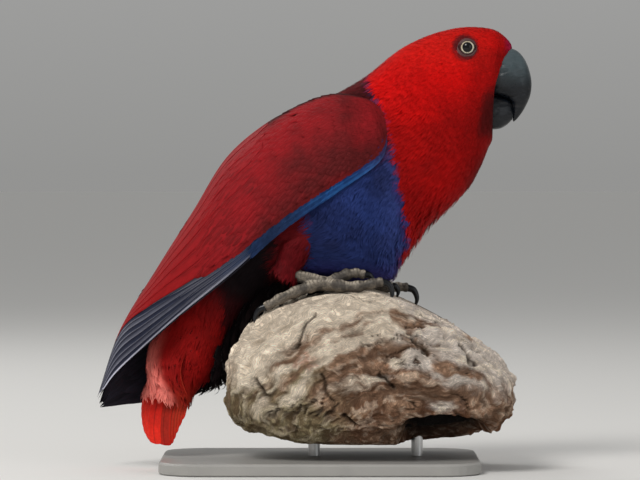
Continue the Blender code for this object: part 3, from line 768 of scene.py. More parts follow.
def finished(bench, shader, colour, height=None, bump=0.3, distance=0.0002, roughness=None):
    """Links colour, bump height and roughness to the shader."""
    bench.tree.links.new(colour, shader.inputs["Base Color"])
    if roughness is not None:
        bench.tree.links.new(roughness, shader.inputs["Roughness"])
    if height is not None:
        dent = bench.node("ShaderNodeBump", {"Strength": bump, "Distance": distance, "Height": height})
        bench.tree.links.new(dent.outputs[0], shader.inputs["Normal"])


# Each kind of feather: strength, count and lean of its barbs, and its roughness
FEATHER_FINISHES = {"soft_plumage": (0.0, 0.0, 0.0, 0.70), "vane_plumage": (0.30, 34.0, 0.35, 0.70),
                    "quill_plumage": (0.25, 110.0, 0.10, 0.62)}


def plumage_finish(name):
    """Feathers: painted colour, mottled finely, with barbs on whole vanes and a soft sheen."""
    found = bpy.data.materials.get(name)
    if found:
        return found
    barbs, count, lean, dull = FEATHER_FINISHES[name]
    finish, bench, shader = new_finish(name, Roughness=dull, Sheen_Weight=0.02, Sheen_Roughness=0.45,
                                       Specular_IOR_Level=0.10)
    outputs = bench.mottled(bench.painted(), bench.places(), 900.0, 0.16)
    if barbs:
        places = bench.node("ShaderNodeUVMap", uv_map="Vane").outputs[0]
        outputs = bench.node("ShaderNodeGroup", {"Colour": outputs["Colour"], "Map": places, "Count": count,
                                                 "Lean": lean, "Amount": barbs},
                             node_tree=barb_group()).outputs
    finished(bench, shader, outputs["Colour"], outputs["Height"], bump=0.35, distance=0.00015)
    return finish


# --- Skin -------------------------------------------------------------------------------------------------
def nearest(points, samples):
    """Index of the nearest sample to each point, by squared distances in blocks."""
    found = np.empty(len(points), int)
    squares = (samples ** 2).sum(1)
    for start in range(0, len(points), 4000):
        block = points[start:start + 4000]
        found[start:start + 4000] = np.argmin(squares[None] - 2 * block @ samples.T, 1)
    return found


def remeshed(name, parts, voxel):
    """The outer surface of overlapping closed parts as points and even quads of about voxel metres."""
    mesh = bpy.data.meshes.new(name)
    points = np.concatenate([p.reshape(-1, 3) for p, _ in parts])
    start, faces = 0, []
    for part, groups in parts:
        for group in groups:
            faces += (group + start).tolist()
        start += part.reshape(-1, 3).shape[0]
    mesh.from_pydata((points * MM).tolist(), [], faces)
    turn_outwards(mesh)
    holder = bpy.data.objects.new(name, mesh)
    bpy.context.scene.collection.objects.link(holder)
    change = holder.modifiers.new("one_surface", "REMESH")
    change.mode = "VOXEL"
    change.voxel_size = voxel
    even = holder.modifiers.new("even", "SMOOTH")
    even.factor, even.iterations = 0.5, 4
    bpy.context.view_layer.update()
    made = holder.evaluated_get(bpy.context.evaluated_depsgraph_get()).to_mesh()
    points = np.empty(len(made.vertices) * 3, np.float32)
    made.vertices.foreach_get("co", points)
    corners = np.empty(len(made.loops), np.int32)
    made.loops.foreach_get("vertex_index", corners)
    holder.to_mesh_clear()
    bpy.data.objects.remove(holder)
    return points.reshape(-1, 3).astype(float) / MM, corners.reshape(-1, 4)


def shrunk_body():
    """The body's form moved in by the coat's depth, as closed rings."""
    place, angle = full_turns(np.linspace(0.03, 13.0, 200), 120)
    away = eye_distance(body_surface(place, angle))
    depth = reading(COAT_DEPTH, place) + 3.5 * smooth(place, 11.8, 12.9) + 6.0 * smooth(-away, -8.6, -6.4)
    return body_surface(place, angle, depth), closed_faces(200, 120)


def wing_arm(side):
    """The wing's flesh: a flat closed tube between the wing's faces, passing in under the flight feathers."""
    station, turn = full_turns(np.linspace(0.15, 4.7, 60), 40)
    reach = reading((0.30, 0.36, 0.36, 0.34, 0.30, 0.25, 0.18, 0.1, 0.05), station)
    middle = reading((0.5, 0.5, 0.5, 0.52, 0.54, 0.56, 0.58, 0.6, 0.6), station)
    across = middle + reach * np.cos(turn)
    thick = wing_thickness(side, station, across)
    depth = thick * 0.58 - thick * 0.26 * np.sin(turn)
    below = flight_depth(side, station, across) + 0.9 - 0.5 * np.sin(turn)
    depth = depth + np.maximum(below - depth, 0) * smooth(station, 2.4, 3.3)
    return wing_surface(side, station, across, depth), closed_faces(60, 40)


def leg_point(point, side, drop=0.0, forward=1.0):
    """A point of the right leg's list set on its side, with a share of the left foot's step forward."""
    x, out, z = point
    return (x + FOOT_FORWARD[side] * forward, side * out, z - drop)


def toe_path(toe, side):
    """Joints of a toe on either side, the left one lowered to its own grip."""
    last = len(TOES[toe]) - 1
    return [leg_point(joint, side, TOE_DROP[side][toe] * k / last) for k, joint in enumerate(TOES[toe])]


def thigh_path(side, inwards):
    """Middle line of the thigh, moved inwards."""
    return [leg_point((x, out - inwards, z), side, forward=THIGH_FORWARD) for x, out, z in THIGH]


def foot_tubes(side):
    """Tarsus and toes as closed tubes, each toe swelling at its joints."""
    path = [leg_point(point, side) for point in (SHANK_START, HEEL, SOLE)]
    tubes = [(tube_points(path, (3.4, *TARSUS_RADII), 48, 60), closed_faces(72, 48))]
    for toe in TOES:
        places = np.linspace(0, 1, 60)
        swell = 1 + 0.10 * np.cos(places * (len(TOES[toe]) - 1) * 2 * math.pi)
        radii = reading(TOE_RADII, places * 2) * swell * (1 - 0.10 * places)
        tubes.append((tube_points(toe_path(toe, side), radii, 40, 60), closed_faces(72, 40)))
    return tubes


def head_height(x, z):
    """Sideways distance of the head's form from the middle plane, over a place in profile."""
    place, angle = np.meshgrid(np.linspace(0.4, 4.0, 150), np.linspace(0.2, 2.2, 150), indexing="ij")
    form = body_surface(place, angle).reshape(-1, 3)
    spots = np.stack([x.ravel(), z.ravel()], 1)
    return form[nearest(spots, form[:, [0, 2]]), 1].reshape(x.shape)


def lid_points(side):
    """Lids and bare ring: rings round the eye from its margin out to the skin under the face's feathers.

    Height over the eye's centre follows the ball at the margin, a rounded rim, and then the head's form less
    the coat; folds are waves in radius, and beads are waves in radius and angle.
    """
    radius, angle = full_turns(np.concatenate([np.linspace(4.35, 5.6, 12), np.linspace(5.75, 10.5, 26)]), 120)
    squash = 1 - 0.05 * smooth(np.sin(angle), 0.2, 1.0) - 0.02 * smooth(-np.sin(angle), 0.3, 1.0)
    front, rear = (np.exp(-((np.cos(angle) + turned) / 0.05) ** 2) for turned in (-1, 1))
    corner = 1 + 0.10 * front + 0.07 * rear
    wide = radius * np.where(radius < 6, squash * corner, 1)
    x = EYE_CENTRE[0] + wide * np.cos(angle)
    z = EYE_CENTRE[2] + wide * np.sin(angle)
    ball = np.sqrt(np.maximum(EYE_RADIUS ** 2 - wide ** 2, 0.05))
    rim = ball + 0.55 * np.sqrt(np.clip(1 - ((wide - 4.95) / 0.62) ** 2, 0, 1)) + 0.02
    outer = head_height(x, z) - EYE_CENTRE[1] - 1.5
    outer = outer + 1.3 * np.exp(-((radius - 5.6) / 1.5) ** 2)
    height = rim * (1 - smooth(radius, 5.0, 5.7)) + outer * smooth(radius, 5.0, 5.7)
    folds = 0.10 * np.cos((radius - 5.2) * 2 * math.pi / 0.85)
    folds = folds * smooth(radius, 5.2, 5.6) * smooth(-radius, -8.6, -7.0)
    beads = 0.09 * np.cos(angle * 46) * np.cos((radius - 5.2) * math.pi / 0.42) * smooth(radius, 4.9, 5.2)
    height = height + folds + beads * smooth(-radius, -8.0, -6.2) - 1.2 * smooth(radius, 8.8, 10.4)
    height = np.maximum(height, np.where(wide > 4.5, ball + 0.15 - 4 * np.maximum(wide - 5.75, 0), -9.0))
    return np.stack([x, side * (EYE_CENTRE[1] + height), z], -1)


def foot_marks(points):
    """Run along the nearest toe or shank, and how far the way out from its line points up, -1 to 1."""
    lines, runs = [], []
    for side in SIDES.values():
        paths = [toe_path(toe, side) for toe in TOES]
        paths.append([leg_point(point, side) for point in (SHANK_ABOVE, HEEL, SOLE)])
        for path in paths:
            lines.append(along(path, np.linspace(0, len(path) - 1, 120)))
            runs.append(run_along(lines[-1]))
    lines, runs = np.concatenate(lines), np.concatenate(runs)
    index = nearest(points, lines)
    away = points - lines[index]
    return runs[index], away[:, 2] / np.maximum(np.linalg.norm(away, axis=1), 1e-3)


def scutes(points, normals):
    """Feet: broad plates over the tops of the toes and fine beads elsewhere, as relief and as a mask.

    Plates are a rounded saw of the run along the toe every 2.3 mm; beads are the product of three cosine
    waves.
    """
    run, lift = foot_marks(points)
    phase = (run / 2.3 + 0.75 * lattice_noise(points, 4.2, 88)) % 1.0
    plate = np.clip(1 - np.abs(2 * phase - 1) ** 5, 0, 1)
    warp = points + 0.5 * np.stack([lattice_noise(points, 1.7, 90 + k) for k in range(3)], -1)
    bead = np.prod(np.cos(warp * 2 * math.pi / 1.9), axis=-1)
    bead = np.sqrt(np.abs(bead))
    top = smooth(lift, 0.15, 0.6)
    relief = plate * top + bead * (1 - top)
    return points + normals * (0.21 * (relief - 0.7) + 0.30 * lattice_noise(points, 3.4, 60))[:, None], relief


def point_normals(points, quads):
    """Normal of each point as the sum of its faces' normals."""
    corners = points[quads]
    face = np.cross(corners[:, 2] - corners[:, 0], corners[:, 3] - corners[:, 1])
    total = np.zeros_like(points)
    for k in range(4):
        np.add.at(total, quads[:, k], face)
    return total / np.maximum(np.linalg.norm(total, axis=1), 1e-9)[:, None]


# The pale foot colour is a painted highlight on plates that face up.
FOOT_GREY, FOOT_DARK, FOOT_TOP_HIGHLIGHT = tone(116, 107, 95), tone(46, 42, 40), tone(206, 194, 176)
LID_GREY, LID_DARK = tone(96, 62, 62), tone(58, 38, 40)


def skin_colour(points):
    """The coat's markings read at the nearest place of the body or of either wing."""
    place, angle = np.meshgrid(np.linspace(0, 17, 180), np.linspace(0, 2 * math.pi, 60), indexing="ij")
    samples, colours = [body_surface(place, angle).reshape(-1, 3)], [body_colour(place, angle).reshape(-1, 3)]
    for side in SIDES.values():
        station, across = np.meshgrid(np.linspace(0, 7, 50), np.linspace(0.02, 1, 30), indexing="ij")
        samples.append(wing_surface(side, station, across, 3.0).reshape(-1, 3))
        colours.append(wing_colour(side, station, across).reshape(-1, 3))
    return np.concatenate(colours)[nearest(points, np.concatenate(samples))]


def skin_finish():
    """Bare and covered skin: painted colour, pores by noise, slightly oily."""
    finish, bench, shader = new_finish("skin", Roughness=0.55, Specular_IOR_Level=0.35)
    here = bench.places()
    pores = bench.mottled(bench.painted(), here, 1400.0, 0.35)
    wear = bench.spread(bench.noise(here, 260.0, 3.0), 0.3, 0.7, 0.42, 0.68)
    finished(bench, shader, pores["Colour"], pores["Height"], 0.4, 0.0002, wear)
    return finish


def foot_skin(detail, grey):
    """Points, quads and colours of the scaly skin of both feet."""
    points, quads = remeshed("skin_feet", foot_tubes(-1) + foot_tubes(1), detail)
    points, relief = scutes(points, point_normals(points, quads))
    _run, lift = foot_marks(points)
    # Darker in the grooves between plates and beads: painted shade.
    colour = mixed(FOOT_DARK, grey, 0.35 + 0.65 * smooth(relief, 0.10, 0.70))
    # Pale on the tops of plates that face up: painted highlight.
    colour = mixed(colour, FOOT_TOP_HIGHLIGHT, 0.6 * smooth(relief, 0.7, 1.0) * smooth(lift, 0.1, 0.95))
    return points, quads, mixed(colour, FOOT_DARK, 0.75 * smooth(rough(points, 6.0, 31, 3), -0.25, 0.55))


def lid_skin(side, grey):
    """Points, quads and colours of the lids and the bare ring round one eye."""
    lids = lid_points(side)
    faces = grid_faces(*lids.shape[:2], wrap=True)
    lids = lids.reshape(-1, 3)
    away = eye_distance(lids)
    lit = smooth(away, 4.6, 5.4) * (0.75 + 0.25 * lattice_noise(lids, 0.8, 3))
    colour = mixed(mixed(LID_DARK, grey, lit), skin_colour(lids) * 0.8, smooth(away, 6.8, 8.6))
    return lids, faces if side < 0 else faces[:, ::-1], colour


def build_skin():
    """One skin for body, wings, thighs and feet, with lids let in round both eyes."""
    looks = chosen("parrot_bare")
    parts = [shrunk_body()] + [wing_arm(side) for side in SIDES.values()]
    for side in SIDES.values():
        parts.append((tube_points(thigh_path(side, 4.5), (9.0, 9.5, 4.5), 32, 40), closed_faces(52, 32)))
    points, quads = remeshed("skin_body", parts, looks["skin_detail"])
    pieces = [(points, quads, skin_colour(points) * 0.92)]
    pieces.append(foot_skin(looks["foot_detail"], looks["foot_grey"]))
    pieces += [lid_skin(side, looks["lid_grey"]) for side in SIDES.values()]
    start, faces = 0, []
    for part, group, _colours in pieces:
        faces.append(group + start)
        start += len(part)
    points, _faces, colours = zip(*pieces)
    mesh = new_mesh("skin", np.concatenate(points), [np.concatenate(faces)], skin_finish(),
                    np.concatenate(colours))
    flesh = ["head", "neck", "trunk", "tail_coverts"]
    for side_name in SIDES:
        flesh += [f"{part}_{side_name}" for part in ("wing", "thigh", "foot")]
        flesh += [f"toe_{toe}_{side_name}" for toe in TOES]
    return place_piece("skin", mesh, "scaly_skin", *flesh)


# --- Bill, claws and eyes ---------------------------------------------------------------------------------
# The teal-grey of the bill's base is a painted reflection of the sky.
HORN, HORN_SKY_REFLECTION, HORN_EDGE = tone(13, 17, 23), tone(86, 101, 106), tone(44, 42, 42)
CREAM, CREAM_DARK, PUPIL = tone(236, 228, 204), tone(150, 134, 106), tone(5, 5, 6)


def horn_finish(name, roughness, low, high):
    """Horn: painted colour with fine streaks and scratches, and uneven gloss."""
    finish, bench, shader = new_finish(name, Roughness=roughness, Specular_IOR_Level=0.35)
    here = bench.places()
    long = bench.node("ShaderNodeMapping", {0: here, 3: (260.0, 260.0, 1300.0)}).outputs[0]
    streak = bench.noise(long, 1.0, 5.0, 0.65)
    colour = bench.greyed(bench.painted(), bench.spread(streak, 0.25, 0.75, 0.82, 1.20))
    gloss = bench.spread(bench.noise(here, 420.0, 4.0), 0.3, 0.7, low, high)
    finished(bench, shader, colour, streak, 0.25, 0.0002, gloss)
    return finish


def mandible(rows, count=130, around=96):
    """Sections fanned from ridge to cutting edge, with growth lines as faint waves along the bill."""
    ridge_x, ridge_z, edge_x, edge_z, wide = along(rows, np.linspace(0, len(rows) - 1, count)).T
    angle = np.linspace(0, 2 * math.pi, around, endpoint=False)[None]
    share = ((1 - np.cos(angle)) / 2) ** 0.9
    x = ridge_x[:, None] + (edge_x - ridge_x)[:, None] * share
    z = ridge_z[:, None] + (edge_z - ridge_z)[:, None] * share
    y = wide[:, None] * np.sign(np.sin(angle)) * np.abs(np.sin(angle)) ** 0.8
    lines = 0.06 * rough(np.stack([x * 0.35, y * 0.2, z], -1), 2.4, 11, 3)
    y = y * (1 + lines * smooth(wide[:, None], 1.0, 4.0))
    return np.stack([x, y, z], -1)


def build_bill():
    """Both mandibles: a painted teal-grey reflection at the ridge's base, nearly black towards the tip."""
    horn = chosen("parrot_bare")["horn"]
    finish = horn_finish("bill_horn", 0.34, 0.26, 0.42)
    made = []
    for name, sections in (("upper", BILL_UPPER), ("lower", BILL_LOWER)):
        points = mandible(sections)
        # Teal-grey on the upper mandible's base: painted reflection of the sky.
        base = smooth(points[..., 2], 256, 278) if name == "upper" else 0 * points[..., 2]
        gape = np.interp(points[..., 0], (107, 131), (254, 246))
        lip = smooth(-np.abs(points[..., 2] - gape), -1.6, -0.3)
        patch = 0.5 + 0.5 * rough(points * (1.0, 1.0, 0.35), 3.6, 21, 3)
        colour = mixed(horn, HORN_SKY_REFLECTION, 0.72 * base * (0.62 + 0.38 * patch))
        colour = mixed(colour, HORN_EDGE, 0.35 * lip)
        rows, columns = points.shape[:2]
        faces = [grid_faces(rows, columns, wrap=True), *end_caps(rows, columns)]
        mesh = new_mesh(f"bill_{name}_horn", points, faces, finish, colour)
        turn_outwards(mesh)
        made.append(place_piece(f"bill_{name}_horn", mesh, "horn", f"bill_{name}"))
    return made


def claw_points(toe, side):
    """A claw: a tapering tube, narrower sideways."""
    path = [leg_point((x, TOES[toe][-1][1], z), side, TOE_DROP[side][toe]) for x, z in CLAWS[toe]]
    points = tube_points(path, CLAW_RADII, 28, 44)
    middle = points.mean(1, keepdims=True)
    away = points - middle
    away[..., 1] *= 0.86
    return middle + away


def build_claws():
    """The four claws of each foot, one piece a foot."""
    horn = chosen("parrot_bare")["horn"]
    finish = horn_finish("claw_horn", 0.24, 0.16, 0.32)
    made = []
    for side_name, side in SIDES.items():
        claws = np.stack([claw_points(toe, side) for toe in TOES])
        number, rows, columns = claws.shape[:3]
        groups = repeated_faces([grid_faces(rows, columns, wrap=True), *end_caps(rows, columns)], number,
                                rows * columns)
        points = claws.reshape(-1, 3)
        colour = mixed(horn * 0.7, HORN_EDGE, 0.3 * (0.5 + 0.5 * rough(points, 2.0, 41, 2)))
        mesh = new_mesh(f"claws_{side_name}", points, groups, finish, colour)
        turn_outwards(mesh)
        replaced = [f"claw_{toe}_{side_name}" for toe in TOES]
        made.append(place_piece(f"claws_{side_name}", mesh, "horn", *replaced))
    return made


def build_eyes():
    """Each eye: a ball with a slightly swollen cornea, thin cream iris streaked outwards and a wide pupil."""
    finish, bench, shader = new_finish("eye", Roughness=0.07, Specular_IOR_Level=0.32)
    finished(bench, shader, bench.painted())
    made = []
    for side_name, side in SIDES.items():
        lean = np.linspace(0.02, math.pi - 0.02, 90)[:, None]
        turn = np.linspace(0, 2 * math.pi, 128, endpoint=False)[None]
        away = EYE_RADIUS * np.sin(lean) + 0 * turn
        front = lean < math.pi / 2
        radius = EYE_RADIUS + np.where(front, 0.35 * smooth(-away, -4.4, -1.0), 0)
        points = np.stack([EYE_CENTRE[0] + radius * np.sin(lean) * np.cos(turn),
                           side * (EYE_CENTRE[1] + radius * np.cos(lean)) + 0 * turn,
                           EYE_CENTRE[2] + radius * np.sin(lean) * np.sin(turn)], -1)
        streak = 0.5 + 0.5 * np.sin(turn * 37 + 3 * np.sin(turn * 5)) * np.sin(turn * 61)
        # Iris darker towards its top: painted shadow of the upper lid.
        shade = smooth(np.sin(turn - 0.5), -0.2, 0.9)
        dark = np.clip(0.3 * streak + 0.5 * smooth(away, 4.15, 4.6) + 0.6 * shade, 0, 1)
        iris = mixed(chosen("parrot_bare")["iris"], CREAM_DARK, dark)
        colour = mixed(iris, PUPIL, smooth(-away, -3.45, -3.3) * front)
        colour = mixed(colour, PUPIL, np.maximum(smooth(away, 4.55, 4.75), 1.0 * ~front))
        faces = [grid_faces(90, 128, wrap=True), *end_caps(90, 128)]
        mesh = new_mesh(f"eyeball_{side_name}", points, faces, finish, colour)
        turn_outwards(mesh)
        made.append(place_piece(f"eyeball_{side_name}", mesh, "eye", f"eye_{side_name}"))
    return made


# --- Coat of the body -------------------------------------------------------------------------------------
def rooted(surface, u_span, v_span, pitch_u, pitch_v, seed, jitter=0.33):
    """Roots in staggered rows: pitch_u apart along the lie and pitch_v across, both read from u.

    Each row is divided evenly by its own length. Where the rows run closer than on their widest side, roots
    are left out at random in the same proportion.
    """
    rng = np.random.default_rng(seed)
    fine = np.linspace(*v_span, 360)
    found_u, found_v = [], []
    u, row = u_span[0], 0
    while u < u_span[1]:
        line = surface(np.full(fine.size, u), fine)
        run = run_along(line)
        count = max(int(run[-1] / pitch_v(u)), 1)
        spots = (np.arange(count) + 0.25 + 0.5 * (row % 2) + rng.uniform(-jitter, jitter, count)) / count
        v = np.interp(np.clip(spots, 0, 1) * run[-1], run, fine)
        across_u, _ = spacing(surface, np.full(count, u), v)
        widest = max(np.percentile(across_u, 90), 1.0)
        step = pitch_u(u) / widest
        kept = rng.random(count) < np.maximum(across_u / widest, 0.04)
        found_u.append((u + rng.uniform(-jitter, jitter, count) * step)[kept])
        found_v.append(v[kept])
        u, row = u + step, row + 1
    return np.concatenate(found_u), np.concatenate(found_v)


def inside_outline(x, z, corners):
    """True where a point is inside a polygon, by counting the edges that a level ray crosses."""
    inside = np.zeros(x.shape, bool)
    for (x1, z1), (x2, z2) in zip(corners, np.roll(corners, -1, 0)):
        crosses = (z1 > z) != (z2 > z)
        with np.errstate(divide="ignore", invalid="ignore"):
            inside ^= crosses & (x < (x2 - x1) * (z - z1) / (z2 - z1) + x1)
    return inside


def under_wing(points, margin=0.11):
    """True where a point of the body lies well under a folded wing on its own side."""
    hidden = np.zeros(points.shape[:-1], bool)
    for side in SIDES.values():
        rows = along(WINGS[side], np.linspace(0.35, 8, 40))
        top, low = rows[:, 0:2], rows[:, 2:4]
        corners = np.concatenate([top + (low - top) * margin, (low - (low - top) * margin)[::-1]])
        hidden |= inside_outline(points[..., 0], points[..., 2], corners) & (side * points[..., 1] > 8)
    return hidden


def eye_place():
    """Body place and angle under the eye's centre in profile."""
    place, angle = np.meshgrid(np.linspace(0.4, 4.0, 300), np.linspace(0.2, 2.2, 300), indexing="ij")
    k = np.argmin(eye_distance(body_surface(place, angle)))
    return place.ravel()[k], angle.ravel()[k]


EYE_U, EYE_V = eye_place()
EYE_PACE = spacing(body_surface, np.array([EYE_U]), np.array([EYE_V]))


def part_round_eyes(u, v):
    """Moves places outwards from each eye: a distance r becomes the cube root of r^3 + ring^3."""
    ring = chosen("parrot_bare")["eye_ring"] / MM
    pace_u, pace_v = EYE_PACE[0][0], EYE_PACE[1][0]
    sign = np.where(v < 0, -1, 1)
    ahead, across = (u - EYE_U) * pace_u, (np.abs(v) - EYE_V) * pace_v
    away = np.hypot(ahead, across) + 1e-4
    grown = (away ** 3 + ring ** 3) ** (1 / 3) / away
    return EYE_U + ahead * grown / pace_u, sign * (EYE_V + across * grown / pace_v)


# Feather length, half width and row pitch in millimetres, read at the body's places
COAT_LENGTH = (2.6, 4.6, 6.0, 7.5, 10.5, 13.0, 14.5, 15.0, 15.0, 15.0, 15.0, 17.0, 20.0, 20.0)
COAT_HALF_WIDTH = (0.75, 1.05, 1.25, 1.5, 1.9, 2.3, 2.5, 2.7, 2.7, 2.7, 2.9, 3.4, 3.8, 3.8)
COAT_PITCH = (0.80, 0.95, 1.05, 1.2, 1.5, 1.8, 2.0, 2.1, 2.2, 2.3, 2.6, 3.2, 4.0, 4.0)


HIDDEN_SHARE = 0.12                 # share of the feathers well under a wing that are kept


def coat_roots(u_span, v_span, seed):
    """Roots of one stretch of the body's coat.

    Most of those well under a wing are left out, and those whose feather would cross an eye's centre.
    """
    rng = np.random.default_rng(seed + 1)
    u, v = rooted(body_surface, u_span, v_span, lambda at: reading(COAT_PITCH, at),
                  lambda at: reading(COAT_PITCH, at) * 1.12, seed)
    covered = under_wing(body_surface(u, v))
    kept = (~covered | (rng.random(u.size) < HIDDEN_SHARE)) & (spacing(body_surface, u, v)[0] > 2.5)
    ahead, across = (u - EYE_U) * EYE_PACE[0][0], (np.abs(v) - EYE_V) * EYE_PACE[1][0]
    past = np.maximum(np.maximum(ahead, -ahead - 1.15 * reading(COAT_LENGTH, u)), 0)
    kept &= np.hypot(past, across) > 1.2 * reading(COAT_HALF_WIDTH, u) + 0.6
    return u[kept], v[kept]


def body_coat(name, u_span, v_span, seed, strands=5, lift=0.0, fray=0.11):
    """One piece of the body's coat, laid from the bill towards the tail and a little towards the belly."""
    rng = np.random.default_rng(seed)
    u, v = coat_roots(u_span, v_span, seed)
    count = u.size
    form = Tuft(strands)
    share = chosen("parrot_plumage")["length_share"]
    length = share * reading(COAT_LENGTH, u) * rng.uniform(0.82, 1.16, count)
    width = reading(COAT_HALF_WIDTH, u) * rng.uniform(0.9, 1.15, count)
    points = body_surface(u, v)
    drift = 0.16 * np.sign(v) * smooth(np.abs(np.sin(v)), 0.2, 0.8)
    yaw = drift + 0.30 * lattice_noise(points, 16.0, seed + 3) + rng.normal(0, 0.10, count)
    root = np.minimum(reading(COAT_DEPTH, u), 5.0) + 0.1
    tip = rng.uniform(0.0, 0.22, count) * root * 0.55 + 0.06 - lift * rng.random(count)
    tip -= 2.6 * rng.random(count) ** 4 * smooth(-np.cos(v), 0.5, 0.9) * smooth(u, 4.0, 5.5)
    laid, _, _ = laid_feathers(body_surface, form, u, v, length, width, yaw, root, tip, seed + 5, fray=fray,
                               around=part_round_eyes)
    colour = body_colour(u + 0.55 * length / spacing(body_surface, u, v)[0], v)
    colour = colour * rng.uniform(0.91, 1.08, (count, 1))
    colour = ring_dusk(laid.mean(1), colour)
    return feather_piece(name, form, laid, (u, v), colour, "soft_plumage", "red_plumage", 0.14, seed)


def long_coverts(name, u_span, v_span, seed, form, pitch, length, width, tips, paint, slot):
    """Long loose feathers over the tail's base; paint gives their colour from place, angle and run."""
    rng = np.random.default_rng(seed)
    u, v = rooted(body_surface, u_span, v_span, lambda at: pitch, lambda at: pitch * 1.1, seed)
    count = u.size
    tall, half = rng.uniform(*length, count), rng.uniform(*width, count)
    yaw = rng.normal(0, 0.10, count)
    laid, at_u, at_v = laid_feathers(body_surface, form, u, v, tall, half, yaw, 3.0 + 0 * u,
                                     rng.uniform(*tips, count), seed + 1, fray=0.16)
    colour = paint(at_u, at_v, form.run[None]) * rng.uniform(0.85, 1.12, (count, 1, 1))
    return feather_piece(name, form, laid, (u, v), colour, "soft_plumage", slot, 0.14, seed)


def tail_covert_colour(place, angle, run):
    """Red with painted shade to the right and by the vent, and painted light on the back and its pink tips.
    """
    red = chosen("parrot_plumage")["tail_red"]
    dorsal = smooth(angle, -1.05, -0.5)
    x = body_surface(np.minimum(place, 13.0), angle)[..., 0]
    # Darker red towards the front and brighter red over the back: painted shade and painted light.
    colour = mixed(mixed(red * 0.72, red * 0.50, smooth(x, -84, -68)), red * 1.25, dorsal)
    brown = smooth(run + 0 * place, 0.3, 0.9) * (1 - dorsal) * smooth(place, 12.2, 13.2)
    colour = mixed(colour, TAIL_BROWN, 0.6 * brown)
    # Nearly black by the vent: painted shade.
    colour = mixed(colour, VENT_SHADE, 0.95 * smooth(x, -66, -61))
    # Pink towards the tips on the upper side: painted light.
    pink = smooth(run + 0 * place, 0.1, 0.7) * smooth(place, 11.3, 12.3) * dorsal
    return mixed(colour, COVERT_LIT_PINK, 0.9 * pink)


def vent_shade_colour(place, _angle, run):
    """Painted shade: nearly black, paler towards each feather's tip."""
    return VENT_SHADE * (1 + 0.5 * run[..., None]) + 0 * place[..., None]


def build_tail_coverts():
    """Long coverts over and under the tail's base."""
    made = [long_coverts("coat_tail_coverts", (10.9, 12.75), (-2.75, 1.9), 410, Tuft(6, 0.58, 0.8, 0.5, 0.35),
                         4.0, (15.0, 37.0), (2.4, 3.8), (-0.7, 0.1), tail_covert_colour, "red_plumage")]
    # The vent's coverts and the loose ones below them are painted nearly black as shade.
    form = Tuft(5, 0.62, 0.82, 0.5, 0.4)
    for name, span in (("right", (-math.pi, -2.55)), ("left", (1.95, math.pi))):
        made.append(long_coverts(f"coat_vent_{name}", (9.5, 12.3), span, 420, form, 3.2, (19.0, 26.0),
                                 (2.8, 3.8), (-7.0, -4.0), vent_shade_colour, "maroon_plumage"))
        made.append(long_coverts(f"coat_vent_loose_{name}", (9.2, 11.9), span, 425, form, 4.6, (22.0, 30.0),
                                 (3.0, 4.0), (-13.0, -7.5), vent_shade_colour, "maroon_plumage"))
    return made


def ring_dusk(points, colour):
    """Dusky feathers close round the eye."""
    return mixed(colour, tone(66, 26, 30), 0.85 * smooth(-eye_distance(points), -10.2, -6.8))


def back_surface(place, across, depth=0.0):
    """The back between the folded wings' upper edges, across -1 to 1, a little below both."""
    right = wing_surface(-1, place, 0.07 + 0 * across)
    left = wing_surface(1, place, 0.07 + 0 * across)
    share = (across * 0.5 + 0.5)[..., None]
    return right * (1 - share) + left * share - np.asarray(depth)[..., None] * (-0.8, 0.0, 0.6)


def build_back_coat():
    """Maroon feathers that close the back between the wings."""
    rng = np.random.default_rng(440)
    u, v = rooted(back_surface, (1.9, 6.3), (-0.96, 0.96), lambda at: 4.2, lambda at: 2.4, 441)
    count = u.size
    form = Tuft(5, 0.6, 0.83, 0.5, 0.3)
    length, width = rng.uniform(13, 18, count), rng.uniform(2.0, 2.7, count)
    yaw = rng.normal(0, 0.06, count)
    laid, _, _ = laid_feathers(back_surface, form, u, v, length, width, yaw, 2.0 + 0 * u,
                               rng.uniform(0.0, 0.6, count), 442, fray=0.12)
    colour = mixed(MANTLE, chosen("parrot_plumage")["maroon"], smooth(u, 2.0, 3.4))
    colour = mixed(colour, MAROON_BRIGHT, smooth(u, 4.0, 5.6))
    colour = colour * rng.uniform(0.85, 1.12, (count, 1))
    return feather_piece("coat_back", form, laid, (u, v), colour, "soft_plumage", "maroon_plumage", 0.14, 443)


def build_body_coat():
    """The coat of each side as head, breast and rump, with the tail's coverts and the back."""
    made = build_tail_coverts() + [build_back_coat()]
    for name, side in SIDES.items():
        span = (-math.pi, 0.0) if side < 0 else (0.0, math.pi)
        seed = 100 if side < 0 else 200
        made.append(body_coat(f"coat_head_{name}", (0.0, 4.1), span, seed))
        made.append(body_coat(f"coat_breast_{name}", (4.1, 9.2), span, seed + 20, fray=0.16, lift=0.3))
        made.append(body_coat(f"coat_rump_{name}", (9.2, 11.5), span, seed + 40, 6, lift=0.2, fray=0.2))
    return made


def thigh_surface(side):
    """The thigh's form as a function of place down the leg, angle round it and depth."""
    path = np.array(thigh_path(side, 0.8))
    axis = path[-1] - path[0]
    axis /= np.linalg.norm(axis)
    level = np.cross(axis, (0.0, 1.0, 0.0))
    level /= np.linalg.norm(level)
    other = np.cross(axis, level)

    def surface(place, angle, depth=0.0):
        centre = along(path, place) + np.maximum(place - 2, 0)[..., None] * (path[2] - path[1])
        radius = np.maximum(reading((11.5, 12.0, 8.0), place) - depth, 1.0)[..., None]
        return centre + radius * (np.cos(angle)[..., None] * level + np.sin(angle)[..., None] * other)
    return surface


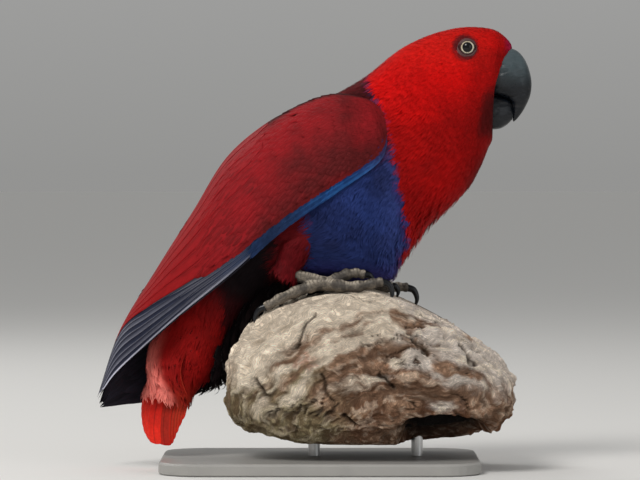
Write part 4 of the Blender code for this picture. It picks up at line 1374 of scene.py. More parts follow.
def build_thigh_coat():
    """Short soft feathers down each thigh, ending in a fringe over the heel."""
    made = []
    for name, side in SIDES.items():
        rng = np.random.default_rng(61 + side)
        surface = thigh_surface(side)
        u, v = rooted(surface, (0.05, 1.93), (0, 2 * math.pi), lambda at: 2.1, lambda at: 2.2, 66 + side)
        count = u.size
        length = rng.uniform(10.0, 14.0, count) * (1 + 0.10 * smooth(u, 1.2, 1.8))
        width = rng.uniform(1.7, 2.3, count)
        full = np.full(count, 3.0)
        laid, _, _ = laid_feathers(surface, Tuft(5), u, v, length, width, rng.normal(0, 0.12, count), full,
                                   rng.uniform(0.0, 0.7, count) - 3.2 * smooth(u, 1.0, 1.8), 63, fray=0.26)
        colour = skin_colour(laid.mean(1)) * rng.uniform(0.85, 1.15, (count, 1))
        made.append(feather_piece(f"coat_thigh_{name}", Tuft(5), laid, (u, v), colour, "soft_plumage",
                                  "maroon_plumage", 0.16, 64))
    return made


# --- Wings ------------------------------------------------------------------------------------------------
def wing_form(side):
    """The wing's outer form as a function of station, place across and depth."""
    def surface(station, across, depth=0.0):
        return wing_surface(side, station, across, depth)
    return surface


def wing_coverts(name, side, seed, form, roots, size, root_depth, tip, change=0.10, fray=0.08,
                 finish="soft_plumage", slot="maroon_plumage", yaw=0.05, limit=-0.012):
    """One piece of wing coverts from given roots, coloured by the wing's markings near their tips.

    size holds the lengths and half widths. The markings are read at least limit above the flight feathers'
    border, or below it where limit is positive, and each feather's colour varies by change.
    """
    rng = np.random.default_rng(seed)
    u, v = roots
    surface = wing_form(side)
    turn = yaw + rng.normal(0, 0.035, u.size)
    laid, at_u, at_v = laid_feathers(surface, form, u, v, *size, turn, root_depth + 0 * u, tip, seed + 1,
                                     cup=0.16, fray=fray)
    border = flight_border(at_u)
    read_v = np.minimum(at_v, border + limit) if limit < 0 else np.maximum(at_v, border + limit)
    colour = wing_colour(side, at_u, read_v) * rng.uniform(1 - change, 1 + change, (u.size, 1, 1))
    return feather_piece(name, form, laid, roots, colour, finish, slot, 0.11, seed)


def small_size(station):
    """Size of the lesser and median coverts, growing from the shoulder back."""
    return 2.3 + 1.05 * np.minimum(station, 3.4)


def great_size(station):
    """Size of the greater coverts."""
    return 5.6 + 1.3 * (station - 3.0)


# Each row of coverts: pitch, length and half width are shares of the size at a station, gap is what the row
# leaves free above the flight feathers' border, and tip is the least depth of a tip and its spread
COVERT_ROWS = {
    "lesser": {"form": Tuft(8, 0.6, 0.83, 0.5, 0.22), "span": (0.02, 1.55), "across": (0.01, 0.985),
               "size": small_size, "pitch": (0.58, 0.80), "jitter": 0.22, "gap": 0.022,
               "length": (1.75, 2.05), "half_width": (0.6, 0.7), "root": 1.9, "tip": (0.25, 0.2),
               "change": 0.10, "seeds": (310, 320), "finish": "soft_plumage"},
    "median": {"form": Vane(8, 6), "span": (1.45, 2.9), "across": (0.01, 0.985), "size": small_size,
               "pitch": (0.72, 0.90), "jitter": 0.2, "gap": 0.03, "length": (2.1, 2.5),
               "half_width": (0.68, 0.76), "root": 2.1, "tip": (0.2, 0.15), "change": 0.07,
               "seeds": (312, 325), "finish": "vane_plumage"},
    "greater": {"form": Vane(12, 8), "span": (2.7, 4.35), "across": (0.012, 0.97), "size": great_size,
                "pitch": (0.85, 0.98), "jitter": 0.14, "gap": 0.04, "length": (2.7, 3.2),
                "half_width": (0.72, 0.8), "root": 2.3, "tip": (0.2, 0.15), "change": 0.06,
                "seeds": (330, 340), "finish": "vane_plumage"},
}


def covert_row(kind, side_name, rng):
    """The lesser, median or greater coverts of a wing."""
    row, side = COVERT_ROWS[kind], SIDES[side_name]
    size, (along_share, across_share) = row["size"], row["pitch"]
    u, v = rooted(wing_form(side), row["span"], row["across"], lambda at: size(at) * along_share,
                  lambda at: size(at) * across_share, row["seeds"][0] + side, row["jitter"])
    kept = v < flight_border(u) - row["gap"]
    u, v = u[kept], v[kept]
    sizes = [size(u) * rng.uniform(*row[share], u.size) for share in ("length", "half_width")]
    tip = row["tip"][0] + row["tip"][1] * rng.random(u.size)
    return wing_coverts(f"coat_{kind}_coverts_{side_name}", side, row["seeds"][1] + side, row["form"], (u, v),
                        sizes, row["root"], tip, row["change"], finish=row["finish"])


def border_coverts(side_name, rng):
    """Short coverts in one line along the flight feathers' border."""
    side = SIDES[side_name]
    u = np.arange(0.03, 4.4, 0.022)
    v = flight_border(u) - 0.020 + rng.uniform(-0.006, 0.006, u.size)
    sizes = rng.uniform(5.5, 7.5, u.size), rng.uniform(1.1, 1.4, u.size)
    tip = 0.05 + 0.1 * rng.random(u.size)
    return wing_coverts(f"coat_border_coverts_{side_name}", side, 345 + side, Tuft(4, 0.6, 0.83, 0.5, 0.3),
                        (u, v), sizes, 1.2, tip, yaw=0.02)


def edge_coverts(side_name, rng):
    """Blue feathers of the wing's lower edge."""
    side = SIDES[side_name]
    u, v = edge_roots(rng)
    sizes = rng.uniform(9.0, 14.0, u.size), rng.uniform(1.5, 2.3, u.size)
    tip = 0.15 + 0.3 * rng.random(u.size)
    return wing_coverts(f"coat_wing_edge_{side_name}", side, 350 + side, Tuft(6, 0.6, 0.83, 0.5, 0.3), (u, v),
                        sizes, 1.7, tip, 0.2, fray=0.1, slot="blue_plumage", yaw=0.0, limit=0.012)


def build_wing_coats():
    """Lesser, median, border and greater coverts, the blue edge and the lining of each wing."""
    made = []
    for name, side in SIDES.items():
        rng = np.random.default_rng(300 + side)
        made += [covert_row("lesser", name, rng), covert_row("median", name, rng), border_coverts(name, rng),
                 covert_row("greater", name, rng), edge_coverts(name, rng), wing_lining(name, side)]
    return made


def edge_roots(rng):
    """Roots along the blue lower edge, in lines parallel to the flight feathers' border."""
    station, line = np.meshgrid(np.arange(0.02, 3.5, 0.085), np.linspace(0.0, 1.0, 5))
    station = (station + 0.04 * (line * 4 % 2)).ravel()
    station = station + rng.uniform(-0.02, 0.02, station.size)
    border = flight_border(station)
    across = border + 0.008 + (0.994 - border) * line.ravel() * 0.96
    return station, across


def wing_lining(name, side):
    """Dark feathers on the wing's inner face, laid towards the tip."""
    rng = np.random.default_rng(370 + side)

    def surface(station, across, depth=0.0):
        inner = wing_thickness(side, station, across) * 0.95
        below = np.maximum(inner, flight_depth(side, station, across) + 0.5)
        return wing_surface(side, station, across, below - depth)
    u, v = rooted(surface, (2.6, 7.2), (0.3, 0.99), lambda at: 6.0, lambda at: 6.0, 371 + side, 0.2)
    length, width = rng.uniform(18, 26, u.size), rng.uniform(4.2, 5.2, u.size)
    form = Vane(9, 4)
    laid, _, _ = laid_feathers(surface, form, u, v, length, width, rng.normal(0, 0.04, u.size), 0.35 + 0 * u,
                               0.0 * u, 372, cup=0.1)
    colour = UNDERWING * rng.uniform(0.8, 1.5, (u.size, 1))
    return feather_piece(f"coat_wing_lining_{name}", form, laid, (u, v), colour, "vane_plumage",
                         "blue_plumage", 0.2, 373)


class Quill:
    """A long feather as a thin closed solid: an outer and an inner layer of a grid, joined round the rim."""

    def __init__(self, rows, columns):
        self.rows, self.columns = rows, columns
        cross = np.linspace(-1, 1, columns + 1)
        self.cross = np.concatenate([cross, cross[::-1]])
        self.inner = np.concatenate([np.zeros(columns + 1), np.ones(columns + 1)])
        self.run = np.linspace(0, 1, rows + 1)
        self.faces = [grid_faces(rows + 1, self.cross.size, wrap=True), self.strip_caps()]

    def strip_caps(self):
        """Quads that close both ends: each column of the outer layer joined to the inner one under it."""
        k = np.arange(self.columns)
        size = self.cross.size
        first = np.stack([k, k + 1, size - 2 - k, size - 1 - k], 1)
        return np.concatenate([first, first[:, ::-1] + self.rows * size])


def quill_outline(run, lead=0.86, point=0.5):
    """Half width along a long feather: quickly full, then narrowing to a rounded point."""
    start = np.clip(0.35 + run / 0.16, 0, 1)
    return start * (1 - np.clip((run - lead) / (1 - lead + 1e-6), 0, 1) ** 2.2) ** point + 0.02


def quill_piece(name, layouts, quill, slot, *replaced):
    """Joins long feathers, each with its own cell of the bake map, side by side."""
    size = (quill.rows + 1) * quill.cross.size
    points = np.concatenate([layout["points"].reshape(-1, 3) for layout in layouts])
    colours = np.concatenate([layout["colours"].reshape(-1, 3) for layout in layouts])
    count = len(layouts)
    run = np.repeat(quill.run[:, None], quill.cross.size, 1)
    cross = np.repeat(quill.cross[None], quill.rows + 1, 0)
    vane = np.broadcast_to(np.stack([cross, run], -1), (count, *run.shape, 2))
    layer = 0.06 + 0.40 * (cross * 0.5 + 0.5) + 0.46 * quill.inner[None]
    cell = (np.arange(count)[:, None, None] + layer[None]) / count
    bake = np.stack(np.broadcast_arrays(cell, 0.02 + 0.96 * run[None]), -1)
    mesh = new_mesh(name, points, repeated_faces(quill.faces, count, size), plumage_finish("quill_plumage"),
                    colours, {"OFBake": bake, "Vane": vane})
    turn_outwards(mesh)
    return place_piece(name, mesh, slot, *replaced)


# Primaries from the lower edge up: tip's station, and the share of the band that lies below each lower edge
PRIMARY_TIPS = (7.72, 7.93, 8.0, 7.86, 7.66, 7.42, 7.16, 6.90)
PRIMARY_LINES = (0.0, 0.17, 0.33, 0.49, 0.64, 0.78, 0.91, 1.03)
SECONDARY_TIPS = (7.22, 7.02, 6.80, 6.56, 6.30, 6.02, 5.72, 5.40)
SECONDARY_LINES = (0.05, 0.17, 0.30, 0.43, 0.56, 0.69, 0.82, 0.93)


def flight_depth(side, station, across, full=4.3):
    """Depth that the stack of flight feathers takes, less where the wing is thin."""
    return full * np.clip(wing_thickness(side, station, across) / 4.4, 0.3, 1)


def band_line(station, share):
    """Place across the wing for a share of the band between its lower edge and the flight border."""
    return 0.985 - (0.985 - np.maximum(flight_border(station), 0.03)) * share


def streaked(colour, cross, run, number, shift, count, seed, amount=0.14):
    """Colour lightened and darkened in streaks across a long feather, each feather's own."""
    places = np.stack([cross * 4 + number * shift, run * count + 0 * cross, 0 * cross], -1)
    return colour * (1 + amount * lattice_noise(places, 1.0, seed + number)[..., None])


def primary(side, number, quill, base, tip, share, width, layer):
    """One long flight feather: its lower edge keeps its line in the band, its upper edge runs under the next.

    Slate with a pale outer edge, a dark shaft near that edge and a darker inner vane; dark below.
    """
    run = quill.run[:, None]
    station = base + (tip - base) * run
    full = quill_outline(run, 0.90, 0.55)
    low = band_line(station, share)
    _, pace = spacing(wing_form(side), station, np.clip(low - 0.03, 0.02, 0.98))
    half = width / pace
    tip_in = np.clip((run - 0.9) / 0.1, 0, 1) ** 2
    centre = low - half * (1 - 0.35 * tip_in)
    across = centre + half * full * quill.cross[None]
    cross = quill.cross[None] + 0 * run
    shaft = np.exp(-((cross - 0.45) / 0.1) ** 2)
    depth = layer + 0.30 * quill.inner[None] + 0.35 * (1 - cross) * 0.5 - 0.25 * shaft
    depth = (depth + 0.25 * smooth(cross, 0.6, 1.0)) * flight_depth(side, station, across, 1.0)
    points = wing_surface(side, station + 0 * cross, across, depth)
    violet, worn = smooth(station, 3.3, 4.7), 0.14 * smooth(station, 6.2, 7.3)
    slate = mixed(chosen("parrot_plumage")["slate"], SLATE_LIGHT, 0.18 * (number % 2))
    vane = mixed(mixed(SLATE_BLUE, EDGE_LIT, 0.12), slate, violet + 0 * cross)
    vane = mixed(vane, SLATE_LIGHT, worn + 0 * cross)
    dark = tone(28, 30, 46)
    colour = mixed(vane, dark, 0.9 * smooth(-cross, -0.66, -0.46))
    colour = mixed(colour, dark * 0.7, 0.8 * np.exp(-((cross - 0.60) / 0.07) ** 2))
    pale = SLATE_LIGHT * (1.0 if number == 0 else 0.5)
    edge = smooth(cross, 0.70, 0.82) if number == 0 else smooth(cross, 0.87, 0.94)
    pale = pale * (1 + 0.9 * smooth(station, 5.8, 7.2))[..., None]
    colour = mixed(colour, pale, (0.85 if number == 0 else 0.75) * edge * (0.25 + 0.75 * violet))
    colour = mixed(colour, UNDERWING * 0.8, quill.inner[None] + 0 * run)
    return {"points": points, "colours": streaked(colour, cross, run, number, 9, 60, 700)}


def secondary(side, number, quill, base, tip, share, width, layer):
    """One tertial or secondary: maroon, its shaft darker, laid over the primaries above their border."""
    run = quill.run[:, None]
    station = base + (tip - base) * run
    full = quill_outline(run, 0.80, 0.5)
    upper = np.maximum(flight_border(np.minimum(station, 6.9)), 0.05)
    low = np.clip(upper * (1 - share) + 0.012 * share, 0.01, 1)
    _, pace = spacing(wing_form(side), station, np.clip(low, 0.03, 0.95))
    half = width / pace
    across = low - half * 0.9 + half * full * quill.cross[None]
    cross = quill.cross[None] + 0 * run
    shaft = np.exp(-((cross - 0.1) / 0.08) ** 2)
    depth = layer + 0.28 * quill.inner[None] + 0.3 * (1 - cross) * 0.5 - 0.2 * shaft
    across = np.maximum(across, 0.004)
    depth = depth * flight_depth(side, station, across, 1.0)
    points = wing_surface(side, station + 0 * cross, across, depth)
    shade = 0.25 + 0.5 * (number * 0.37 % 1.0)
    maroon = chosen("parrot_plumage")["maroon"]
    vane = mixed(maroon, mixed(MAROON_BRIGHT, maroon, shade * 0.6), smooth(station, 3.8, 5.4) + 0 * cross)
    colour = mixed(vane, MAROON_DARK, 0.55 * smooth(-cross, -0.1, 0.8))
    colour = mixed(colour, MAROON_DARK * 0.5, 0.7 * np.exp(-((cross - 0.1) / 0.06) ** 2))
    colour = mixed(colour, UNDERWING, quill.inner[None] + 0 * run)
    return {"points": points, "colours": streaked(colour, cross, run, number, 7, 50, 800)}


def build_flight_feathers():
    """Eight primaries and eight secondaries a wing, the lowest primary deepest and each next laid over it."""
    made = []
    quill = Quill(46, 12)
    for name, side in SIDES.items():
        layouts = [primary(side, k, quill, 2.9 - 0.2 * k, tip, share, 6.4, 3.3 - 0.26 * k)
                   for k, (tip, share) in enumerate(zip(PRIMARY_TIPS, PRIMARY_LINES))]
        made.append(quill_piece(f"primaries_{name}", layouts, quill, "blue_plumage",
                                f"flight_feathers_{name}"))
        layouts = [secondary(side, k, quill, 3.5 - 0.06 * k, tip, share, 8.4, 0.72 - 0.06 * k)
                   for k, (tip, share) in enumerate(zip(SECONDARY_TIPS, SECONDARY_LINES))]
        made.append(quill_piece(f"secondaries_{name}", layouts, quill, "maroon_plumage"))
    return made


# --- Tail -------------------------------------------------------------------------------------------------
RECTRIX_OFFSETS = (5.0, 7.8, 10.4, 12.8, 15.0, 17.0)
RECTRIX_TIPS = (16.62, 16.15, 15.65, 15.15, 14.70, 14.30)


def tail_frame(place):
    """Centre, upward and sideways axes and half sizes of the tail's sections."""
    cx, cz, ux, uz, tall, wide, twist, _power = np.moveaxis(along(BODY_ROWS, place), -1, 0)
    length = np.hypot(ux, uz)
    zero = 0 * cx
    up = np.stack([ux / length, zero, uz / length], -1)
    side = np.stack([zero, zero + 1, zero], -1)
    cos, sin = np.cos(twist)[..., None], np.sin(twist)[..., None]
    return np.stack([cx, zero, cz], -1), up * cos - side * sin, side * cos + up * sin, tall, wide


def rectrix(hand, number, quill):
    """One tail feather: the middle pair lies on top and is longest, each next pair wider out and shorter."""
    run = quill.run[:, None]
    place = 11.6 + (RECTRIX_TIPS[number] - 11.6) * run
    cross = quill.cross[None] + 0 * run
    place = np.broadcast_to(place, cross.shape)
    centre, up, side, tall, wide = tail_frame(place)
    fan = smooth(run, 0.0, 0.5) * 0.15 + 0.85
    half = 7.0 * quill_outline(run, 0.80, 0.55)
    out = hand * RECTRIX_OFFSETS[number] * fan + half * cross
    share = np.clip(out / np.maximum(wide, 0.5), -0.98, 0.98)
    arch = np.minimum(tall, 4.0) * np.sqrt(1 - share ** 2)
    stack = 0.9 - 0.24 * number + 0.05 * hand
    height = 0.45 * arch + stack - 0.18 * quill.inner[None] - 0.03 * cross ** 2
    points = centre + side * out[..., None] + up * height[..., None]
    # The left half (hand above 0) is brighter towards the tips: painted light.
    bright = 0.30 + 0.60 * (hand > 0) + 0.15 * (number % 2)
    coat = chosen("parrot_plumage")
    red, tip = coat["tail_red"], coat["tail_tip"]
    colour = mixed(red, tip, np.clip(bright * smooth(run, 0.35, 0.9) + 0.35 * (hand > 0) + 0 * cross, 0, 1))
    brown = (hand < 0) * min((number + 1.5) / 3, 1) * smooth(-run, -0.99, -0.7)
    colour = mixed(colour, TAIL_BROWN, 0.8 * brown)
    colour = mixed(colour, tip * 1.15, 0.25 * smooth(cross * hand, 0.7, 0.95))
    colour = mixed(colour, red * 0.5, 0.25 * np.exp(-(cross / 0.05) ** 2))
    colour = mixed(colour, mixed(red * 0.5, tip * 0.6, smooth(run, 0.6, 0.95)), quill.inner[None] + 0 * run)
    return {"points": points, "colours": streaked(colour, cross, run, number, 5, 50, 900, 0.16)}


def build_tail():
    """Twelve tail feathers in six pairs."""
    quill = Quill(40, 12)
    layouts = [rectrix(hand, number, quill) for number in range(5, -1, -1) for hand in (-1, 1)]
    return [quill_piece("tail_feathers", layouts, quill, "red_plumage", "tail")]


# --- Perch, stand and stage -------------------------------------------------------------------------------
BARK_PALE, BARK_GREY, BARK_PINK = tone(252, 236, 214), tone(236, 224, 212), tone(168, 134, 109)
BARK_OLIVE, BARK_BROWN, BARK_DARK = tone(158, 146, 112), tone(124, 82, 57), tone(56, 42, 32)
WOOD, WOOD_DARK = tone(186, 150, 108), tone(132, 96, 62)
HOLLOW = (82.0, 26.0, 33.0, 12.5)            # x, z, half width and half height of the rot hole


def perch_point(angle, run):
    """The limb's form: four superellipse quarters, run 0 to 1 from its near end's middle to its sawn face.

    The near end is flat, then a quarter round, then straight.
    """
    cos, sin = np.cos(angle), np.sin(angle)
    power = np.where(sin < 0, PERCH_POWER_UNDER, np.where(cos < 0, PERCH_POWER_LEFT, PERCH_POWER_RIGHT))
    wide = np.where(cos < 0, PERCH_LEFT, PERCH_RIGHT)
    tall = np.where(sin < 0, PERCH_DOWN, PERCH_UP)
    radius = (np.abs(cos / wide) ** power + np.abs(sin / tall) ** power) ** (-1 / power)
    turn = np.clip((run - 0.15) / 0.4, 0, 1) * math.pi / 2
    flat = np.clip(run / 0.15, 0, 1)
    scale = np.where(run < 0.15, 0.24 * flat, 0.24 + 0.76 * np.sin(turn))
    reach = np.clip((run - 0.55) / 0.45, 0, 1)
    y = np.where(run < 0.55, PERCH_ROUND - (PERCH_ROUND - PERCH_NEAR) * np.cos(turn),
                 PERCH_ROUND + (PERCH_SAWN - PERCH_ROUND) * reach)
    x = PERCH_MIDDLE[0] + scale * radius * cos
    z = PERCH_MIDDLE[1] + scale * radius * sin - (1 - scale) * 8 * smooth(scale, 0.0, 0.24)
    return np.stack([x, y, z], -1)


def ridged(points, size, seed, octaves=3):
    """Ridges where noise crosses zero: the sum of 1 - 2.4 |noise| over octaves, halved each time."""
    total = np.zeros(len(points))
    for k in range(octaves):
        total += (1 - 2.4 * np.abs(lattice_noise(points, size / 2 ** k, seed + k))) / 2 ** k
    return total / 2


# cracks on the near side: x z of both ends
CRACKS = ((-19.0, 84.0, -8.0, 99.0), (-8.0, 99.0, -3.0, 108.0), (-1.0, 66.0, 8.0, 50.0),
          (40.0, 67.0, 50.0, 57.0), (92.0, 86.0, 104.0, 72.0), (62.0, 92.0, 74.0, 80.0),
          (-44.0, 64.0, -36.0, 52.0), (14.0, 40.0, 24.0, 33.0))


def bark_fibres(points):
    """Warped distance from a middle by the rot hole and the angle round it; fibres follow its arches."""
    warp = 5.0 * np.stack([rough(points, 20.0, 40 + k, 3) for k in range(3)], 1)
    warp += 1.6 * np.stack([rough(points, 6.0, 30 + k, 2) for k in range(3)], 1)
    x, y, z = (points + warp).T
    across, up = (x - 55.0) * 0.8, z - 12.0
    return np.hypot(across, up), y, np.arctan2(up, across)


def crack_share(points):
    """Share of crack: near the listed lines, wavering, and where stretched noise crosses zero in patches."""
    x, _y, z = (points + 2.4 * np.stack([rough(points, 9.0, 60 + k, 3) for k in range(3)], 1)).T
    away = np.full(len(points), 99.0)
    for x1, z1, x2, z2 in CRACKS:
        run = np.clip(((x - x1) * (x2 - x1) + (z - z1) * (z2 - z1)) / ((x2 - x1) ** 2 + (z2 - z1) ** 2), 0, 1)
        away = np.minimum(away, np.hypot(x - x1 - run * (x2 - x1), z - z1 - run * (z2 - z1)))
    long = (1 - smooth(away, 0.4, 1.9)) * smooth(-points[:, 1], 0, 20)
    reach, y, angle = bark_fibres(points)
    line = np.abs(rough(np.stack([reach, y * 0.4, angle * 7.0], 1), 8.0, 49, 3))
    short = (1 - smooth(line, 0.01, 0.06)) * smooth(rough(points, 15.0, 51, 2), 0.0, 0.25)
    return np.maximum(long, 0.8 * short)


def bark_relief(points):
    """Height over the limb's form, the share of crack and the ridges: lumps, knuckles, and arching fibres."""
    reach, y, angle = bark_fibres(points)
    lump = rough(points, 32.0, 41, 2)
    knuckle = rough(points, 12.0, 42, 3)
    ridge = ridged(np.stack([reach, y * 0.7, angle * 14.0], 1), 6.4, 43, 3)
    flake = ridged(np.stack([reach, y, angle * 20.0], 1), 3.4, 45, 2)
    crack = crack_share(points)
    height = 2.4 * lump + 2.0 * knuckle + 2.6 * ridge + 1.2 * flake - 2.8 * crack - 2.0
    return height, crack, ridge * 0.6 + flake * 0.5


def bark_colour(points, crack, ridge, hollow):
    """Cream on top and greyer ahead, pinkish in the middle, olive low behind and brown by the rot hole."""
    looks = chosen("parrot_perch")
    bark_pale, brown = looks["bark_pale"], looks["bark_brown"]
    x, _y, z = points.T
    drift = rough(points, 26.0, 51, 3)
    reach, y, angle = bark_fibres(points)
    patch = rough(np.stack([reach, y * 0.6, angle * 16.0], 1), 8.0, 53, 4)
    fleck = rough(np.stack([reach, y, angle * 20.0], 1), 3.2, 54, 3)
    out = ((x - PERCH_MIDDLE[0]) / PERCH_LEFT) ** 2
    out = out + (np.maximum(z - PERCH_MIDDLE[1], 0) / PERCH_UP) ** 2
    pale = smooth(out + 0.25 * drift + 0.5 * patch, 0.10, 0.50) * smooth(z + 20 * patch, 40, 72)
    colour = mixed(BARK_PINK, brown, 0.55 * smooth(patch + 0.6 * drift, -0.15, 0.3))
    olive = smooth(14 - x + 20 * drift, -6, 22) * smooth(88 - z + 30 * patch, 0, 26)
    colour = mixed(colour, BARK_OLIVE, 0.9 * olive)
    low = smooth(x + 22 * drift, 30, 64) * smooth(62 - z + 26 * patch, 0, 22)
    colour = mixed(colour, brown * 0.9, 0.85 * low)
    colour = mixed(colour, mixed(bark_pale, BARK_GREY, smooth(x + 30 * drift, 30, 70)), 0.94 * pale)
    colour = mixed(colour, tone(196, 116, 88), 0.5 * smooth(-np.hypot(x + 13, z - 77) + 9 * patch, -7, -3))
    # Paler on the raised ridges and flecks and darker in the low places between them: painted light and
    # shade.
    colour = mixed(colour, bark_pale, (0.25 + 0.45 * pale) * smooth(fleck + 0.4 * ridge, 0.25, 0.5))
    gap = np.maximum(smooth(-ridge, -0.40, -0.02), 0.7 * smooth(-fleck, 0.12, 0.36))
    colour = mixed(colour, mixed(brown * 0.6, BARK_DARK, 0.5), (0.70 - 0.42 * pale) * gap)
    # Nearly black in the cracks: painted shade.
    colour = mixed(colour, BARK_DARK, 0.85 * crack)
    # Near black in the rot hole: painted shade of its depth.
    return mixed(colour, tone(18, 13, 11), hollow)


def bark_finish():
    """Rough dry bark under the painted colours: fibres along the grain map's arches, flakes, fine grain."""
    finish, bench, shader = new_finish("bark", Roughness=0.92, Specular_IOR_Level=0.15)
    colour = bench.node("ShaderNodeVertexColor", layer_name="plumage").outputs["Color"]
    grain = bench.noise(bench.places(), 900.0, 5.0, 0.7)
    lay = bench.node("ShaderNodeUVMap", uv_map="Grain").outputs[0]
    fibre = bench.node("ShaderNodeMapping", {"Vector": lay, "Scale": (1.0, 0.30, 1.0)}).outputs[0]
    fibre = bench.noise(fibre, 46.0, 5.0, 0.72)
    fibre = bench.maths("ABSOLUTE", bench.maths("SUBTRACT", fibre, 0.5))
    fibre = bench.spread(fibre, 0.0, 0.16)
    flake = bench.noise(lay, 34.0, 4.0, 0.65)
    relief = bench.maths("ADD", bench.maths("MULTIPLY", fibre, 0.45), bench.maths("MULTIPLY", flake, 0.35))
    relief = bench.maths("ADD", relief, bench.maths("MULTIPLY", grain, 0.3))
    # Colour lighter on the relief's high places and darker on its low ones: painted light and shade.
    shade = bench.spread(relief, 0.28, 0.70, 0.68, 1.50)
    finished(bench, shader, bench.greyed(colour, shade), relief, bump=0.9, distance=0.0016)
    return finish


PERCH_ROWS, PERCH_AROUND, SAWN_ROWS = 172, 500, 20
GRAIN_UNIT = 50.0                   # millimetres to one unit of the grain map


def limb_form():
    """Points of the limb's smooth form, ring by ring, and the normals that point out of it."""
    run, angle = full_turns(np.linspace(0, 1, PERCH_ROWS), PERCH_AROUND)
    base = perch_point(angle, run)
    steps = np.roll(base, -1, 1) - np.roll(base, 1, 1)
    lengths = np.gradient(base, axis=0)
    normal = np.cross(lengths, steps).reshape(-1, 3)
    normal[:PERCH_AROUND] = (0.0, -1.0, 0.0)
    normal /= np.maximum(np.linalg.norm(normal, axis=1), 1e-9)[:, None]
    points = base.reshape(-1, 3)
    middle = np.array([PERCH_MIDDLE[0], 0.0, PERCH_MIDDLE[1]])
    return points, normal * np.sign(((points - middle) * normal).sum(1))[:, None]


def sawn_face(rim, wood):
    """Points and colours of the sawn face inside the limb's last ring: year rings, saw marks and checks."""
    centre = np.array([PERCH_MIDDLE[0] - 6, PERCH_SAWN, PERCH_MIDDLE[1] + 4])
    share = np.linspace(1, 0, SAWN_ROWS + 1)[1:]
    face = (centre + (rim[None] - centre) * share[:, None, None]).reshape(-1, 3)
    radius = np.linalg.norm(face - centre, axis=1)
    ring = 0.5 + 0.5 * np.sin((radius + 5.0 * rough(face, 24.0, 59, 2)) * 1.55)
    saw = lattice_noise(face * (0.05, 1.0, 1.0), 1.3, 61)
    face[:, 1] -= 0.12 * ring + 0.2 * np.abs(saw)
    turn = np.arctan2(face[:, 2] - centre[2], face[:, 0] - centre[0]) * 3
    split = np.abs(lattice_noise(np.stack([turn, 0 * radius, 0 * radius], 1), 1.0, 63))
    check = (1 - smooth(split, 0.01, 0.035)) * smooth(radius, 8, 26)
    colour = mixed(wood, WOOD_DARK, 0.55 * ring ** 2 + 0.2 * saw)
    colour = mixed(colour, WOOD_DARK, 0.5 * smooth(share.repeat(len(rim)), 0.90, 0.98))
    return face, mixed(colour, BARK_DARK, 0.8 * check)


def build_perch():
    """The limb with lumps, ridges and cracks, a rot hole low on the near side and a sawn far face."""
    looks = chosen("parrot_perch")
    points, normal = limb_form()
    height, crack, ridge = bark_relief(points)
    reach, _y, bend = bark_fibres(points)
    x, y, z = points.T
    gripped = smooth(x, -58, -46) * smooth(-x, -92, -76) * smooth(z, 96, 110)
    room = np.where(z < 22, 0.3, 3.2)
    height = np.where(height > 0, height * (1 - gripped), height * (1 - 0.6 * gripped))
    height = np.minimum(height, room) * smooth(z, 17.0, 24.0)
    dip = ((x - HOLLOW[0]) / HOLLOW[2]) ** 2 + ((z - HOLLOW[1]) / HOLLOW[3]) ** 2
    dip = dip + 0.35 * rough(points, 9.0, 57, 3)
    hollow = (1 - smooth(dip, 0.55, 1.15)) * smooth(-y, -10, 30)
    height = (height - looks["hollow_depth"] / MM * hollow) * smooth(PERCH_SAWN - y, 0.0, 1.5)
    points = points + normal * height[:, None]
    points[:PERCH_AROUND] = points[:PERCH_AROUND].mean(0)
    colour = bark_colour(points, crack * smooth(z, 17, 24), ridge, hollow)
    colour = mixed(colour, BARK_DARK, 0.5 * (1 - smooth(PERCH_SAWN - y, 0.3, 2.5)))
    face, rings = sawn_face(points[-PERCH_AROUND:], looks["wood"])
    grain = np.concatenate([np.stack([reach / GRAIN_UNIT, bend], 1), face[:, [0, 2]] / GRAIN_UNIT])
    quads = grid_faces(PERCH_ROWS + SAWN_ROWS, PERCH_AROUND, wrap=True)
    mesh = new_mesh("bark", np.concatenate([points, face]), [quads], bark_finish(),
                    np.concatenate([colour, rings]), {"Grain": grain})
    turn_outwards(mesh)
    return [place_piece("bark", mesh, "bark", "perch")]


def build_stand():
    """The stand keeps its solids; this gives them satin paint and brushed steel."""
    paint, bench, shader = new_finish("stand_paint", Roughness=0.42, Specular_IOR_Level=0.45)
    place = bench.places()
    peel = bench.noise(place, 2600.0, 2.0, 0.5)
    cloud = bench.spread(bench.noise(place, 40.0, 3.0, 0.5), 0.3, 0.7)
    tint = bench.blend(cloud, (0.330, 0.322, 0.305, 1), (0.370, 0.360, 0.342, 1))
    finished(bench, shader, tint, peel, bump=0.10, distance=0.0001)
    steel, bench, shader = new_finish("stand_steel", Roughness=0.3, Metallic=1.0)
    brush = bench.node("ShaderNodeMapping", {"Vector": bench.places(), "Scale": (1.0, 1.0, 0.02)})
    lines = bench.noise(brush.outputs[0], 6000.0, 2.0, 0.6)
    tint = bench.blend(bench.spread(lines, 0.3, 0.7), (0.50, 0.50, 0.50, 1), (0.62, 0.62, 0.61, 1))
    finished(bench, shader, tint, lines, bump=0.12, distance=0.0001)
    shown = []
    for thing in bpy.data.objects:
        title = thing.name.split(".")[0]
        if thing.type == "MESH" and title in ("stand_base", "stand_rod_1", "stand_rod_2"):
            thing.data.materials.clear()
            thing.data.materials.append(paint if title == "stand_base" else steel)
            shown.append(thing)
    return shown


VIEW_MIDDLE = (0.0, 0.0, 0.155)
VIEW_AWAY, VIEW_RISE = 2.6, math.radians(1.0)
SENSOR = 36.0
FLOOR_HALF, FLOOR_LEVEL = 40000.0, -0.4
LIGHT_TARGET = (0.0, 0.0, 0.17)
